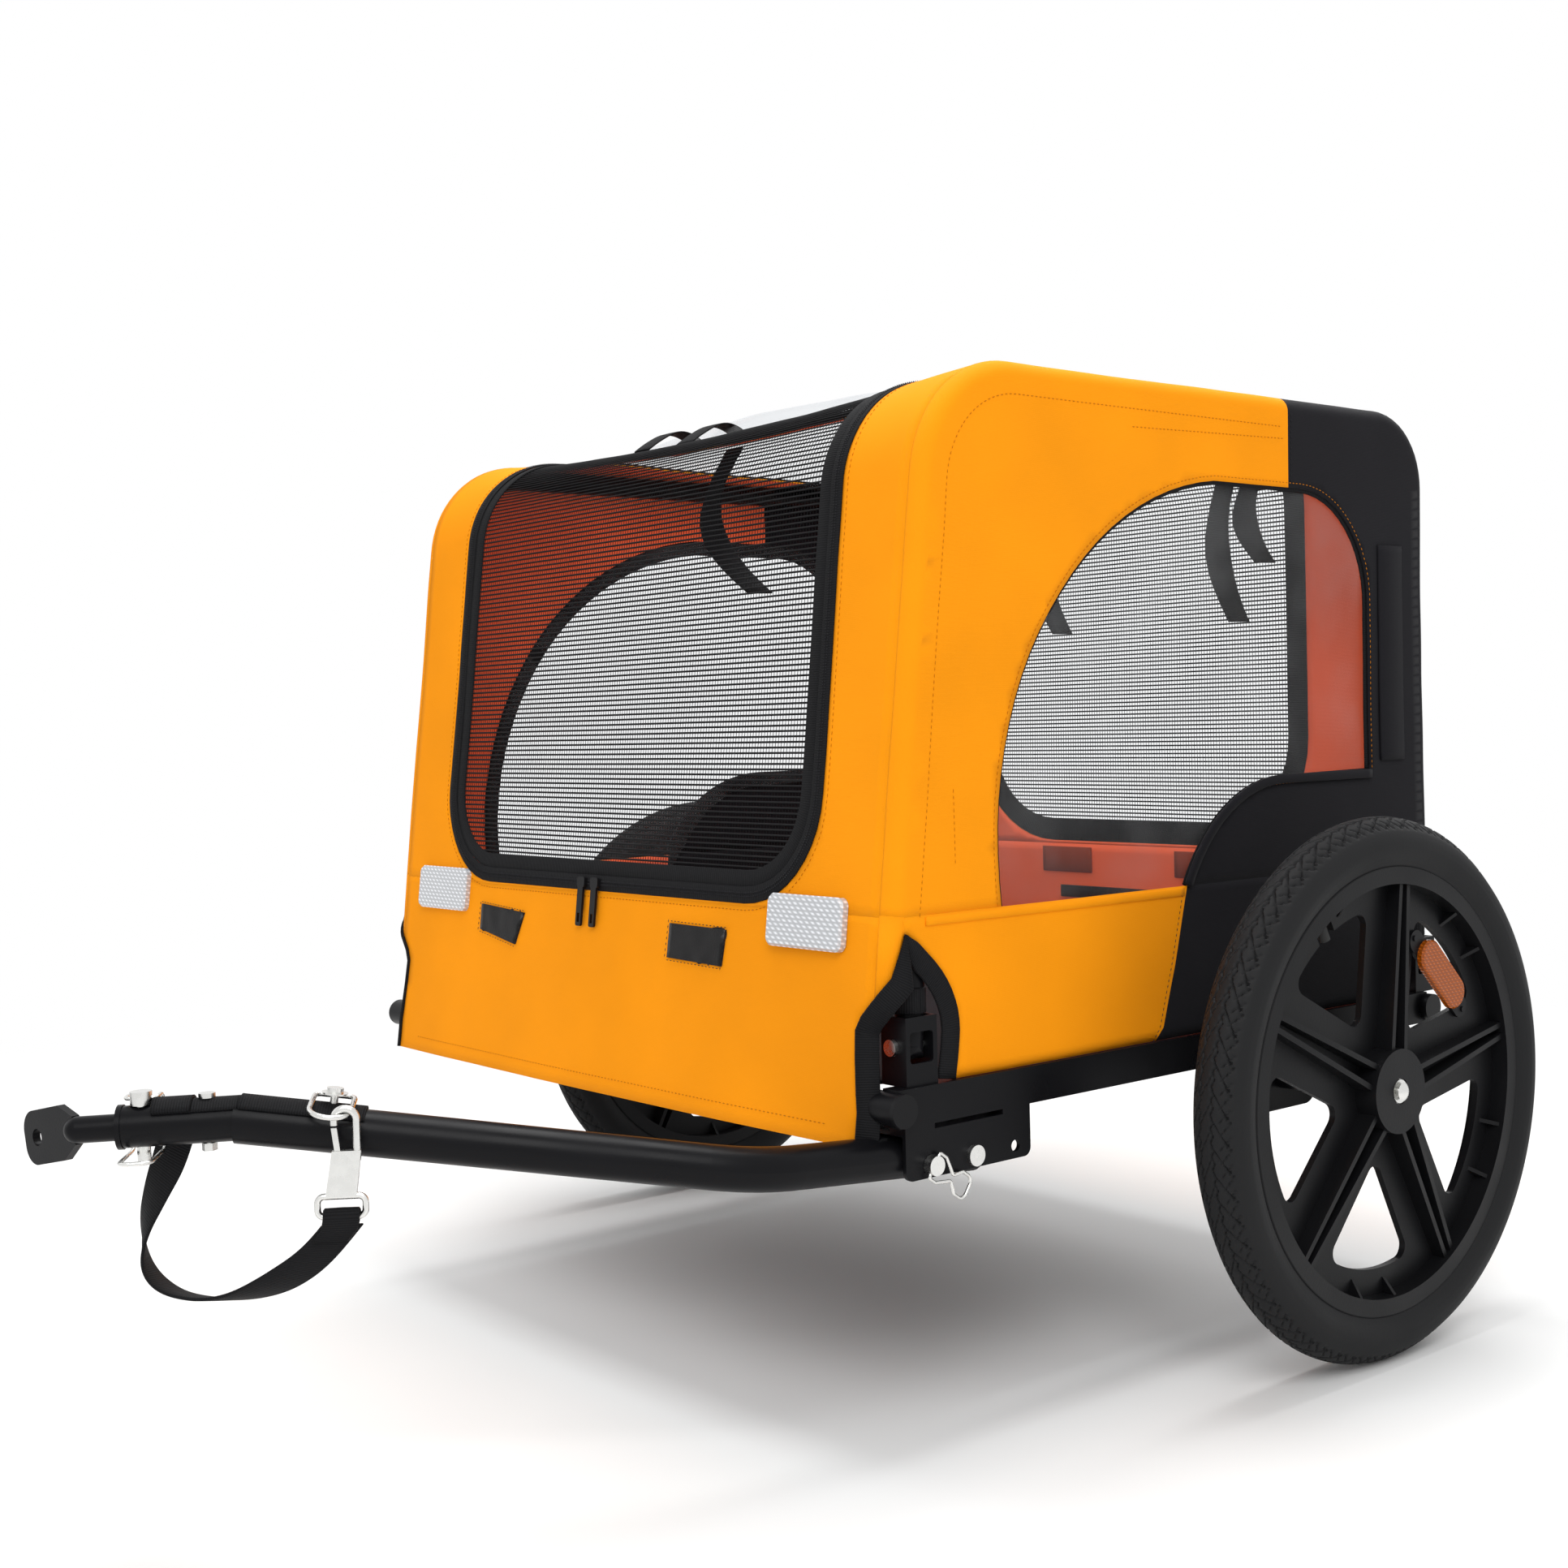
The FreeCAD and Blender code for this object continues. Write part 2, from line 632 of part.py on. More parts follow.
def rim():
    edge = RIM_WIDTH * HALF
    inside = edge - RIM_FLANGE
    soft = RIM_LIP_ROUND
    bow = soft * (1 - BOW_SHARE)
    barrel = turned(outline(
        V(-edge, 0, RIM_BORE_R),
        V(edge, 0, RIM_BORE_R),
        V(edge, 0, RIM_LIP_R - soft),
        (V(edge - bow, 0, RIM_LIP_R - bow), V(edge - soft, 0, RIM_LIP_R)),
        V(inside, 0, RIM_LIP_R),
        V(inside, 0, RIM_WELL_R),
        V(-inside, 0, RIM_WELL_R),
        V(-inside, 0, RIM_LIP_R),
        V(soft - edge, 0, RIM_LIP_R),
        (V(bow - edge, 0, RIM_LIP_R - bow), V(-edge, 0, RIM_LIP_R - soft)),
    ))
    web = rod(V(-WEB * HALF, 0, 0), V(WEB * HALF, 0, 0), RIM_BORE_R + RIM_BARREL * HALF)
    step = FULL_TURN / SPOKES
    half_step = step * HALF
    gaps = []
    walls = []
    for spoke in range(SPOKES):
        angle = SPOKE_ANGLE + spoke * step
        gaps.append(rotated(web_gap(), LEFTWARD, angle + half_step))
        rib = spoke_rib()
        far_rib = rib.mirror(ORIGIN, UP)
        for wall in (rib, far_rib):
            walls.append(rotated(wall, LEFTWARD, angle))
        for lean in (-GUSSET_ANGLE, GUSSET_ANGLE):
            walls.append(rotated(rim_gusset(), LEFTWARD, angle + half_step + lean))
    notch = box(-WEB, WEB, GAP_OUTER_R - OVERRUN, RIM_BORE_R, -VALVE_NOTCH * HALF, VALVE_NOTCH * HALF)
    gaps.append(rotated(notch, LEFTWARD, VALVE_ANGLE))
    hub = rod(V(-HUB_IN, 0, 0), V(HUB_OUT, 0, 0), HUB_R)
    both_faces = walls + [mirrored(wall) for wall in walls]
    body = barrel.fuse([web.cut(gaps), hub] + both_faces)
    pocket_r = BEARING_R + RUN_FIT
    outer_seat = HUB_OUT - HUB_CAP
    cuts = [
        rod(V(outer_seat, 0, 0), V(HUB_OUT + OVERRUN, 0, 0), HUB_CAP_R + RUN_FIT),
        rod(V(outer_seat - BEARING_WIDTH, 0, 0), V(HUB_OUT, 0, 0), pocket_r),
        rod(V(-HUB_IN - OVERRUN, 0, 0), V(BEARING_WIDTH - HUB_IN, 0, 0), pocket_r),
        rod(V(-HUB_IN, 0, 0), V(HUB_OUT, 0, 0), HUB_BORE_R),
    ]
    valve_hole = rod(V(0, RIM_BORE_R - OVERRUN, 0), V(0, RIM_WELL_R + OVERRUN, 0), VALVE_R + SEAT_GAP)
    cuts.append(rotated(valve_hole, LEFTWARD, VALVE_ANGLE))
    return body.cut(cuts)


def bearing(start_x):
    end = V(start_x + BEARING_WIDTH, 0, 0)
    race = rod(V(start_x, 0, 0), end, BEARING_R)
    return race.cut(rod(V(start_x, 0, 0), end, AXLE_R + RUN_FIT))


def hub_cap():
    face = V(HUB_OUT, 0, 0)
    back = V(HUB_OUT - HUB_CAP, 0, 0)
    return rod(back, face, HUB_CAP_R).cut(rod(back, face, HUB_CAP_HOLE_R))


def stadium(length, width, thick, back_x):
    # A long plate with round ends, lying across local Z
    end = (length - width) * HALF
    side = width * HALF
    wire = outline(
        V(back_x, REFLECTOR_R - side, -end),
        (V(back_x, REFLECTOR_R, -end - side), V(back_x, REFLECTOR_R + side, -end)),
        V(back_x, REFLECTOR_R + side, end),
        (V(back_x, REFLECTOR_R, end + side), V(back_x, REFLECTOR_R - side, end)),
    )
    return plate(wire, V(thick, 0, 0))


def reflector_angle():
    return SPOKE_ANGLE + FULL_TURN / SPOKES * HALF


def reflector_base():
    face = WEB * HALF
    body = stadium(REFLECTOR_BASE_LENGTH, REFLECTOR_BASE_WIDTH, REFLECTOR_BASE, face)
    screw_z = REFLECTOR_BASE_LENGTH * HALF - REFLECTOR_SCREW_INSET
    front = face + REFLECTOR_BASE
    for z in (-screw_z, screw_z):
        head_end = V(front + REFLECTOR_SCREW_HEAD, REFLECTOR_R, z)
        body = body.fuse(rod(V(face, REFLECTOR_R, z), head_end, REFLECTOR_SCREW_R))
    return rotated(body, LEFTWARD, reflector_angle())


def reflector_lens():
    back = WEB * HALF + REFLECTOR_BASE
    body = stadium(REFLECTOR_LENS_LENGTH, REFLECTOR_LENS_WIDTH, REFLECTOR_LENS, back)
    rim_edges = [edge for edge in body.Edges if abs(edge.BoundBox.XMin - back - REFLECTOR_LENS) < RUN_FIT]
    return rotated(body.makeChamfer(REFLECTOR_BEVEL, rim_edges), LEFTWARD, reflector_angle())


def axle():
    head_x = HUB_OUT - HUB_CAP + SEAT_GAP
    collar_end = -HUB_IN - SEAT_GAP
    collar_start = SOCKET_OUT + SEAT_GAP - RAIL_TO_WHEEL
    shaft = rod(V(-AXLE_INSIDE, 0, 0), V(head_x, 0, 0), AXLE_R)
    collar = rod(V(collar_start, 0, 0), V(collar_end, 0, 0), AXLE_COLLAR_R)
    head = rod(V(head_x, 0, 0), V(head_x + AXLE_HEAD, 0, 0), AXLE_HEAD_R)
    bore_depth = BUTTON_STEM + BUTTON_TRAVEL + SEAT_GAP
    bore_end = V(head_x + AXLE_HEAD, 0, 0)
    bore = rod(bore_end - V(bore_depth, 0, 0), bore_end, BUTTON_STEM_R + RUN_FIT)
    return shaft.fuse([collar, head]).cut(bore)


def axle_button():
    back = HUB_OUT - HUB_CAP + SEAT_GAP + AXLE_HEAD + BUTTON_TRAVEL + SEAT_GAP
    cap_r = (BUTTON_R ** 2 + BUTTON_CROWN ** 2) * HALF / BUTTON_CROWN
    centre = V(back + BUTTON_CROWN - cap_r, 0, 0)
    mid_angle = HALF * math.asin(BUTTON_R / cap_r)
    via = centre + V(math.cos(mid_angle), 0, math.sin(mid_angle)) * cap_r
    dome = turned(outline(V(back, 0, 0), V(back, 0, BUTTON_R), (via, V(back + BUTTON_CROWN, 0, 0))))
    stem_start = back - BUTTON_TRAVEL - BUTTON_STEM
    return dome.fuse(rod(V(stem_start, 0, 0), V(back + RUN_FIT, 0, 0), BUTTON_STEM_R))


def build_wheels():
    outer_bearing = HUB_OUT - HUB_CAP - BEARING_WIDTH
    made = {
        "tyre": [tyre()],
        "inner_tube": [inner_tube()],
        "rim": [rim()],
        "hub_cap": [hub_cap()],
        "hub_bearings": [bearing(outer_bearing), bearing(-HUB_IN)],
        "reflector_base": [reflector_base()],
        "reflector_lens": [reflector_lens()],
        "axle": [axle()],
        "axle_button": [axle_button()],
    }
    hub = V(WHEEL_X, 0, AXLE_Z)
    for piece, shapes in made.items():
        left = [shifted(shape, hub) for shape in shapes]
        right = [rotated(shape, UP, HALF_TURN) for shape in left]
        put("left_" + piece, *left)
        put("right_" + piece, *right)


# Frame

def tube_line(y, half_length, radius):
    return rod(V(-half_length, y, FRAME_Z), V(half_length, y, FRAME_Z), radius)


def cross_tube(y, half_length):
    bore = tube_line(y, half_length, TUBE_R - TUBE_GAUGE)
    return tube_line(y, half_length, TUBE_R).cut(bore)


def side_rail():
    inner_x = RAIL_X - RAIL_WIDTH
    outer = box(inner_x, RAIL_X, -AXLE_TO_FRONT_TUBE, AXLE_TO_REAR_TUBE, RAIL_BOTTOM_Z, RAIL_TOP_Z)
    gauge = TUBE_GAUGE
    hollow = box(inner_x + gauge, RAIL_X - gauge, -AXLE_TO_FRONT_TUBE, AXLE_TO_REAR_TUBE,
                 RAIL_BOTTOM_Z + gauge, RAIL_TOP_Z - gauge)
    copes = [tube_line(y, RAIL_X, TUBE_R) for y in (-AXLE_TO_FRONT_TUBE, AXLE_TO_REAR_TUBE)]
    return outer.cut([hollow] + copes)


def end_plug(y):
    tube_end = RAIL_X + TUBE_PAST_RAIL
    face = rod(V(tube_end, y, FRAME_Z), V(tube_end + PLUG_FACE, y, FRAME_Z), TUBE_R)
    spigot_r = TUBE_R - TUBE_GAUGE - RUN_FIT
    return face.fuse(rod(V(tube_end - PLUG_SPIGOT, y, FRAME_Z), V(tube_end, y, FRAME_Z), spigot_r))


def axle_plate(x, top_z):
    half = AXLE_PLATE_LENGTH * HALF
    low = AXLE_Z - AXLE_PLATE_BELOW
    soft = AXLE_PLATE_ROUND
    bow = soft * (1 - BOW_SHARE)
    wire = outline(
        V(x, -half, top_z),
        V(x, -half, low + soft),
        (V(x, bow - half, low + bow), V(x, soft - half, low)),
        V(x, half - soft, low),
        (V(x, half - bow, low + bow), V(x, half, low + soft)),
        V(x, half, top_z),
    )
    return plate(wire, V(AXLE_PLATE, 0, 0))


def axle_bracket():
    outer_x = RAIL_X - AXLE_PLATE
    inner_plate = axle_plate(outer_x - AXLE_PLATE_SPACING, FRAME_Z)
    saddle = tube_line(0, RAIL_X, TUBE_R)
    start = V(RAIL_X - SOCKET_IN, 0, AXLE_Z)
    end = V(RAIL_X + SOCKET_OUT, 0, AXLE_Z)
    body = axle_plate(outer_x, RAIL_BOTTOM_Z).fuse([inner_plate.cut(saddle), rod(start, end, SOCKET_R)])
    return body.cut(rod(start, end, AXLE_R + RUN_FIT))


def hoop_bracket(y):
    top = HOOP_PIVOT_Z + BRACKET_ABOVE_PIVOT
    wide = CHEEK_Y + BRACKET_GAUGE
    inner_x = BRACKET_X - BRACKET_DEPTH
    body = box(inner_x, BRACKET_X, y - wide, y + wide, RAIL_TOP_Z, top)
    hollow = box(inner_x, BRACKET_X - BRACKET_GAUGE, y - CHEEK_Y, y + CHEEK_Y, RAIL_TOP_Z, top)
    half = BRACKET_WINDOW * HALF
    window = box(HOOP_X, BRACKET_X, y - half, y + half, HOOP_PIVOT_Z - half, HOOP_PIVOT_Z + half)
    hole = rod(V(HOOP_X, y - wide, HOOP_PIVOT_Z), V(HOOP_X, y + wide, HOOP_PIVOT_Z), HOOP_BOLT_R + RUN_FIT)
    return body.cut([hollow, rounded(window, LEFTWARD, BRACKET_GAUGE), hole])


def hexagon(centre, axis, radius, height):
    # Six-sided nut standing on centre
    side = axis.cross(V(axis.y, axis.z, axis.x)).normalize() * radius
    points = []
    for corner in range(NUT_SIDES):
        turn = FreeCAD.Rotation(axis, FULL_TURN / NUT_SIDES * corner)
        points.append(centre + turn.multVec(side))
    return plate(Part.makePolygon(points + points[:1]), axis * height)


def hoop_pivot_bolt(y):
    wide = CHEEK_Y + BRACKET_GAUGE
    front = V(HOOP_X, y - wide, HOOP_PIVOT_Z)
    rear = V(HOOP_X, y + wide, HOOP_PIVOT_Z)
    head = rod(front - V(0, HOOP_BOLT_HEAD, 0), front, HOOP_BOLT_HEAD_R)
    return rod(front, rear + V(0, NUT, 0), HOOP_BOLT_R).fuse([head, hexagon(rear, REARWARD, NUT_R, NUT)])


def hoop():
    front_foot = V(HOOP_X, HOOP_FOOT_Y, HOOP_PIVOT_Z)
    rear_foot = V(HOOP_X, HOOP_REAR_Y, HOOP_PIVOT_Z)
    path = bent_path([front_foot, HOOP_FRONT_CORNER, HOOP_REAR_CORNER, rear_foot],
                     [HOOP_FRONT_BEND, HOOP_REAR_BEND])
    outer = swept(path, HOOP_R)
    pieces = []
    cuts = [swept(path, HOOP_R - HOOP_GAUGE)]
    for foot in (front_foot, rear_foot):
        across = V(0, HOOP_R, 0)
        stub = rod(foot - V(0, 0, HOOP_R), foot, HOOP_R)
        knuckle = rod(foot - across, foot + across, HOOP_R)
        plug = rod(foot - V(0, 0, HOOP_BOLT_R), foot + V(0, 0, HOOP_R), HOOP_R - HOOP_GAUGE * HALF)
        pieces += [stub.common(knuckle), plug]
        cuts.append(rod(foot - across - across, foot + across + across, HOOP_BOLT_R + RUN_FIT))
    return outer.cut(cuts[0]).fuse(pieces).cut(cuts[1:])


def drawbar_bracket():
    front = CHANNEL_FRONT_Y
    rear = front + CHANNEL_LENGTH
    low = BOLT_Z - CHANNEL_BELOW_BOLT
    top = RAIL_BOTTOM_Z - CHANNEL_SLOT
    soft = CHANNEL_ROUND
    bow = soft * (1 - BOW_SHARE)
    cheek = outline(
        V(CHANNEL_INNER_X, front, top),
        V(CHANNEL_INNER_X, front, low + soft),
        (V(CHANNEL_INNER_X, front + bow, low + bow), V(CHANNEL_INNER_X, front + soft, low)),
        V(CHANNEL_INNER_X, rear - soft, low),
        (V(CHANNEL_INNER_X, rear - bow, low + bow), V(CHANNEL_INNER_X, rear, low + soft)),
        V(CHANNEL_INNER_X, rear, top),
    )
    body = plate(cheek, V(RAIL_X - CHANNEL_INNER_X, 0, 0))
    hollow = box(CHANNEL_INNER_X + CHANNEL_PLATE, RAIL_X - CHANNEL_PLATE, front, rear, low, top - CHANNEL_TOP)
    lug_x = RAIL_X - RAIL_WIDTH
    lugs = [box(lug_x, RAIL_X, y, y + CHANNEL_LUG, top, RAIL_BOTTOM_Z) for y in (front, rear - CHANNEL_LUG)]
    start = V(CHANNEL_INNER_X, LOCK_PIN_Y, BOLT_Z)
    holes = []
    for hole in range(CHANNEL_HOLES):
        near = start + V(0, hole * CHANNEL_HOLE_PITCH, 0)
        holes.append(rod(near, near + V(RAIL_X - CHANNEL_INNER_X, 0, 0), LOCK_PIN_R + RUN_FIT))
    return body.cut([hollow] + holes).fuse(lugs)


def drawbar_pivot_bolt():
    inner = V(CHANNEL_INNER_X, BOLT_Y, BOLT_Z)
    outer = V(RAIL_X, BOLT_Y, BOLT_Z)
    head = rod(outer, outer + V(DRAWBAR_BOLT_HEAD, 0, 0), DRAWBAR_BOLT_HEAD_R)
    nut = hexagon(inner, -LEFTWARD, DRAWBAR_BOLT_HEAD_R, DRAWBAR_BOLT_HEAD + DRAWBAR_BOLT_R * HALF)
    return rod(inner - V(DRAWBAR_BOLT_HEAD, 0, 0), outer, DRAWBAR_BOLT_R).fuse([head, nut])


def bail_axis():
    slope = math.radians(BAIL_SLOPE)
    return V(0, math.sin(slope), math.cos(slope))


def bail_centre():
    return V(RAIL_X + SEAT_GAP + LOCK_PIN_HEAD * HALF, LOCK_PIN_Y, BOLT_Z)


def drawbar_lock_pin():
    outer = V(RAIL_X + SEAT_GAP, LOCK_PIN_Y, BOLT_Z)
    inner = V(CHANNEL_INNER_X - LOCK_PIN_TAIL, LOCK_PIN_Y, BOLT_Z)
    head = rod(outer, outer + V(LOCK_PIN_HEAD, 0, 0), LOCK_PIN_HEAD_R)
    reach = bail_axis() * (LOCK_PIN_HEAD_R + OVERRUN)
    cross_hole = rod(bail_centre() - reach, bail_centre() + reach, BAIL_R + RUN_FIT)
    pin = rod(inner, outer, LOCK_PIN_R).fuse(head).cut(cross_hole)
    ring_end = V(CHANNEL_INNER_X - SEAT_GAP, LOCK_PIN_Y, BOLT_Z)
    ring_start = ring_end - V(LOCK_RING, 0, 0)
    ring = rod(ring_start, ring_end, LOCK_PIN_HEAD_R).cut(rod(ring_start, ring_end, LOCK_PIN_R + RUN_FIT))
    return Part.makeCompound([pin, ring])


def lock_pin_bail():
    # Local X runs down the finger loop, local Y along the hinge
    stub = LOCK_PIN_HEAD_R - BAIL_HOLE
    leg = LOCK_PIN_HEAD_R + BAIL_NECK
    crimp = BAIL_R + BAIL_CRIMP_GAP
    half = [
        V(0, stub, 0),
        V(0, leg, 0),
        V(BAIL_LEG, leg, 0),
        V(BAIL_CRIMP, crimp, 0),
        V(BAIL_LOOP_START, BAIL_LOOP_HALF, 0),
        V(BAIL_LOOP_END, BAIL_LOOP_HALF, 0),
    ]
    points = half + [V(point.x, -point.y, 0) for point in reversed(half)]
    bends = [BAIL_BEND, BAIL_BEND, BAIL_BEND, BAIL_BEND, BAIL_LOOP_BEND]
    form = wire_form(points, bends + bends[::-1], BAIL_R)
    slope = math.radians(BAIL_SLOPE)
    down = V(0, math.cos(slope), -math.sin(slope))
    return placed(form, bail_centre(), down, LEFTWARD)


def build_frame():
    past_rail = RAIL_X + TUBE_PAST_RAIL
    between_rails = RAIL_X - RAIL_WIDTH
    ends = (-AXLE_TO_FRONT_TUBE, AXLE_TO_REAR_TUBE)
    posts = (HOOP_FOOT_Y, HOOP_REAR_Y)
    put("cross_tubes", *[cross_tube(y, past_rail) for y in ends], cross_tube(0, between_rails))
    put("side_rails", pair(side_rail()))
    put("tube_end_plugs", *[pair(end_plug(y)) for y in ends])
    put("axle_brackets", pair(axle_bracket()))
    put("hoop_brackets", *[pair(hoop_bracket(y)) for y in posts])
    put("hoop_pivot_bolts", *[pair(hoop_pivot_bolt(y)) for y in posts])
    put("left_hoop", hoop())
    put("right_hoop", mirrored(hoop()))
    put("drawbar_bracket", drawbar_bracket())
    put("drawbar_pivot_bolt", drawbar_pivot_bolt())
    put("drawbar_lock_pin", drawbar_lock_pin())
    put("lock_pin_bail", lock_pin_bail())


# Drawbar and hitch

def heading(angle, slope):
    turn = math.radians(angle)
    rise = math.radians(slope)
    return V(-math.sin(turn) * math.cos(rise), -math.cos(turn) * math.cos(rise), math.sin(rise))


SLEEVE_WAY = heading(SLEEVE_HEADING, SLEEVE_SLOPE)
TONGUE_WAY = heading(TONGUE_HEADING, TONGUE_SLOPE)
BAR_WAY = (BEND_AT - ELBOW_AT).normalize()
HOOK_WAY = V(BAR_WAY.x, BAR_WAY.y, 0).normalize()
TONGUE_AT = ELBOW_AT + SLEEVE_WAY * COUPLER_END


def ahead_of_mitre():
    # Everything in front of the plane where the bar meets the sleeve
    size = DRAWBAR_OD + SLEEVE_LENGTH
    return placed(box(0, size, -size, size, -size, size), ELBOW_AT, SLEEVE_WAY - BAR_WAY)


def on_sleeve(shape):
    return placed(shape, ELBOW_AT, SLEEVE_WAY)


def on_bar(shape):
    return placed(shape, ELBOW_AT, BAR_WAY)


def upright(along, low, high, radius):
    return rod(V(along, 0, low), V(along, 0, high), radius)


def drawbar_tube():
    tail = BOLT_AT + (BOLT_AT - BEND_AT).normalize() * DRAWBAR_TAIL
    path = bent_path([tail, BEND_AT, ELBOW_AT - BAR_WAY * DRAWBAR_R], [DRAWBAR_BEND_R])
    bore = swept(path, DRAWBAR_R - DRAWBAR_GAUGE)
    across = V(DRAWBAR_OD, 0, 0)
    bolt_hole = rod(BOLT_AT - across, BOLT_AT + across, DRAWBAR_BOLT_R + RUN_FIT)
    slot_r = LOCK_PIN_R + SLIDE_FIT
    slot = turned(outline(
        V(-DRAWBAR_OD, -CHANNEL_HOLE_PITCH - slot_r, 0),
        V(DRAWBAR_OD, -CHANNEL_HOLE_PITCH - slot_r, 0),
        V(DRAWBAR_OD, slot_r - CHANNEL_HOLE_PITCH, 0),
        V(-DRAWBAR_OD, slot_r - CHANNEL_HOLE_PITCH, 0),
    ), -LOCK_SLOT_ANGLE)
    pin_hole = rod(LOCK_AT - across, LOCK_AT + across, slot_r)
    screw_hole = on_bar(upright(RING_ALONG, 0, DRAWBAR_OD, STRAP_SCREW_R + RUN_FIT))
    cuts = [bore, ahead_of_mitre(), bolt_hole, shifted(slot, BOLT_AT), pin_hole, screw_hole]
    return swept(path, DRAWBAR_R).cut(cuts)


def drawbar_sleeve():
    body = rod(V(-OVERRUN, 0, 0), V(SLEEVE_LENGTH, 0, 0), SLEEVE_R)
    lip = rod(V(SLEEVE_LENGTH - SLEEVE_LIP, 0, 0), V(SLEEVE_LENGTH, 0, 0), SLEEVE_R + SLEEVE_LIP_PROUD)
    bore = rod(V(-OVERRUN, 0, 0), V(SLEEVE_LENGTH, 0, 0), COUPLER_R + SLIDE_FIT)
    pin_hole = upright(HITCH_PIN_ALONG, -SLEEVE_OD, SLEEVE_OD, HITCH_PIN_R + RUN_FIT)
    screw_hole = upright(STRAP_SCREW_ALONG, -SLEEVE_OD, SLEEVE_OD, STRAP_SCREW_R + RUN_FIT)
    return on_sleeve(body.fuse(lip).cut([bore, pin_hole, screw_hole])).common(ahead_of_mitre())


def hitch_coupler():
    pin_hole = upright(HITCH_PIN_ALONG, -SLEEVE_OD, SLEEVE_OD, HITCH_PIN_R + RUN_FIT)
    stem = rod(V(COUPLER_START, 0, 0), V(COUPLER_END, 0, 0), COUPLER_R).cut(pin_hole)
    knuckle = Part.makeSphere(COUPLER_R, V(COUPLER_END, 0, 0))
    neck = TONGUE_NECK * HALF
    side = TONGUE_WIDTH * HALF
    back = -TONGUE_THICK * HALF
    soft = TONGUE_ROUND
    bow = soft * (1 - BOW_SHARE)
    end = TONGUE_LENGTH
    wire = outline(
        V(0, back, -neck),
        V(TONGUE_SHOULDER, back, -side),
        V(end - soft, back, -side),
        (V(end - bow, back, bow - side), V(end, back, soft - side)),
        V(end, back, side - soft),
        (V(end - bow, back, side - bow), V(end - soft, back, side)),
        V(TONGUE_SHOULDER, back, side),
        V(0, back, neck),
    )
    hole_x = end - TONGUE_HOLE_INSET
    hole = rod(V(hole_x, -TONGUE_THICK, 0), V(hole_x, TONGUE_THICK, 0), TONGUE_HOLE_R)
    tongue = plate(wire, V(0, TONGUE_THICK, 0)).cut(hole)
    return on_sleeve(stem.fuse(knuckle)).fuse(placed(tongue, TONGUE_AT, TONGUE_WAY))


def hitch_pin():
    top = HITCH_HEAD_Z + HITCH_PIN_HEAD
    shank = upright(HITCH_PIN_ALONG, -SLEEVE_R - HITCH_PIN_TAIL, HITCH_HEAD_Z, HITCH_PIN_R)
    head = upright(HITCH_PIN_ALONG, HITCH_HEAD_Z, top, HITCH_PIN_HEAD_R)
    reach = V(HITCH_PIN_HEAD_R + OVERRUN, 0, 0)
    centre = V(HITCH_PIN_ALONG, 0, CLIP_HINGE_Z)
    cross_hole = rod(centre - reach, centre + reach, CLIP_R + RUN_FIT)
    return on_sleeve(shank.fuse(head).cut(cross_hole))


def hitch_pin_clip():
    # A double wire from the head round the far side of the sleeve and out under it
    stub = HITCH_PIN_HEAD_R - CLIP_HOLE
    far = -SLEEVE_R - CLIP_CLEAR - CLIP_R
    near = CLIP_NEAR_REACH + CLIP_LEG_X
    half = [
        V(stub, 0, CLIP_HINGE_Z),
        V(CLIP_LEG_X, 0, CLIP_HINGE_Z),
        V(CLIP_LEG_X, far, CLIP_HINGE_Z),
        V(CLIP_LEG_X, far, far),
        V(CLIP_LEG_X, near, far),
    ]
    points = half + [V(-point.x, point.y, point.z) for point in reversed(half)]
    bends = [CLIP_R + CLIP_R, CLIP_BEND, CLIP_BEND, CLIP_END_BEND]
    form = wire_form(points, bends + bends[::-1], CLIP_R)
    return on_sleeve(shifted(form, V(HITCH_PIN_ALONG, 0, 0)))


def drawbar_screws():
    top = SLEEVE_R + WEBBING_GAP + WEBBING
    head = upright(STRAP_SCREW_ALONG, top, top + STRAP_SCREW_HEAD, STRAP_SCREW_HEAD_R)
    shank = upright(STRAP_SCREW_ALONG, -SLEEVE_R - STRAP_NUT, top, STRAP_SCREW_R)
    nut = hexagon(V(STRAP_SCREW_ALONG, 0, -SLEEVE_R), -UP, STRAP_NUT_R, STRAP_NUT)
    through = on_sleeve(shank.fuse([head, nut]))
    washer_z = WEBBING_TOP + RING_LIFT + RING_WIRE_R + SLIDE_FIT
    head_z = washer_z + RING_WASHER
    washer = upright(RING_ALONG, washer_z, head_z, RING_WASHER_R)
    ring_head = upright(RING_ALONG, head_z, head_z + STRAP_SCREW_HEAD, STRAP_SCREW_HEAD_R)
    ring_shank = upright(RING_ALONG, DRAWBAR_R - RING_SCREW_BITE, head_z, STRAP_SCREW_R)
    return Part.makeCompound([through, on_bar(ring_shank.fuse([washer, ring_head]))])


def band(radius, start, end, first_angle, turn):
    # Webbing laid on a round bar, angles from the top towards local -Y
    inner = radius + WEBBING_GAP
    outer = inner + WEBBING
    wire = outline(V(start, 0, inner), V(end, 0, inner), V(end, 0, outer), V(start, 0, outer))
    return rotated(turned(wire, turn), LEFTWARD, first_angle)


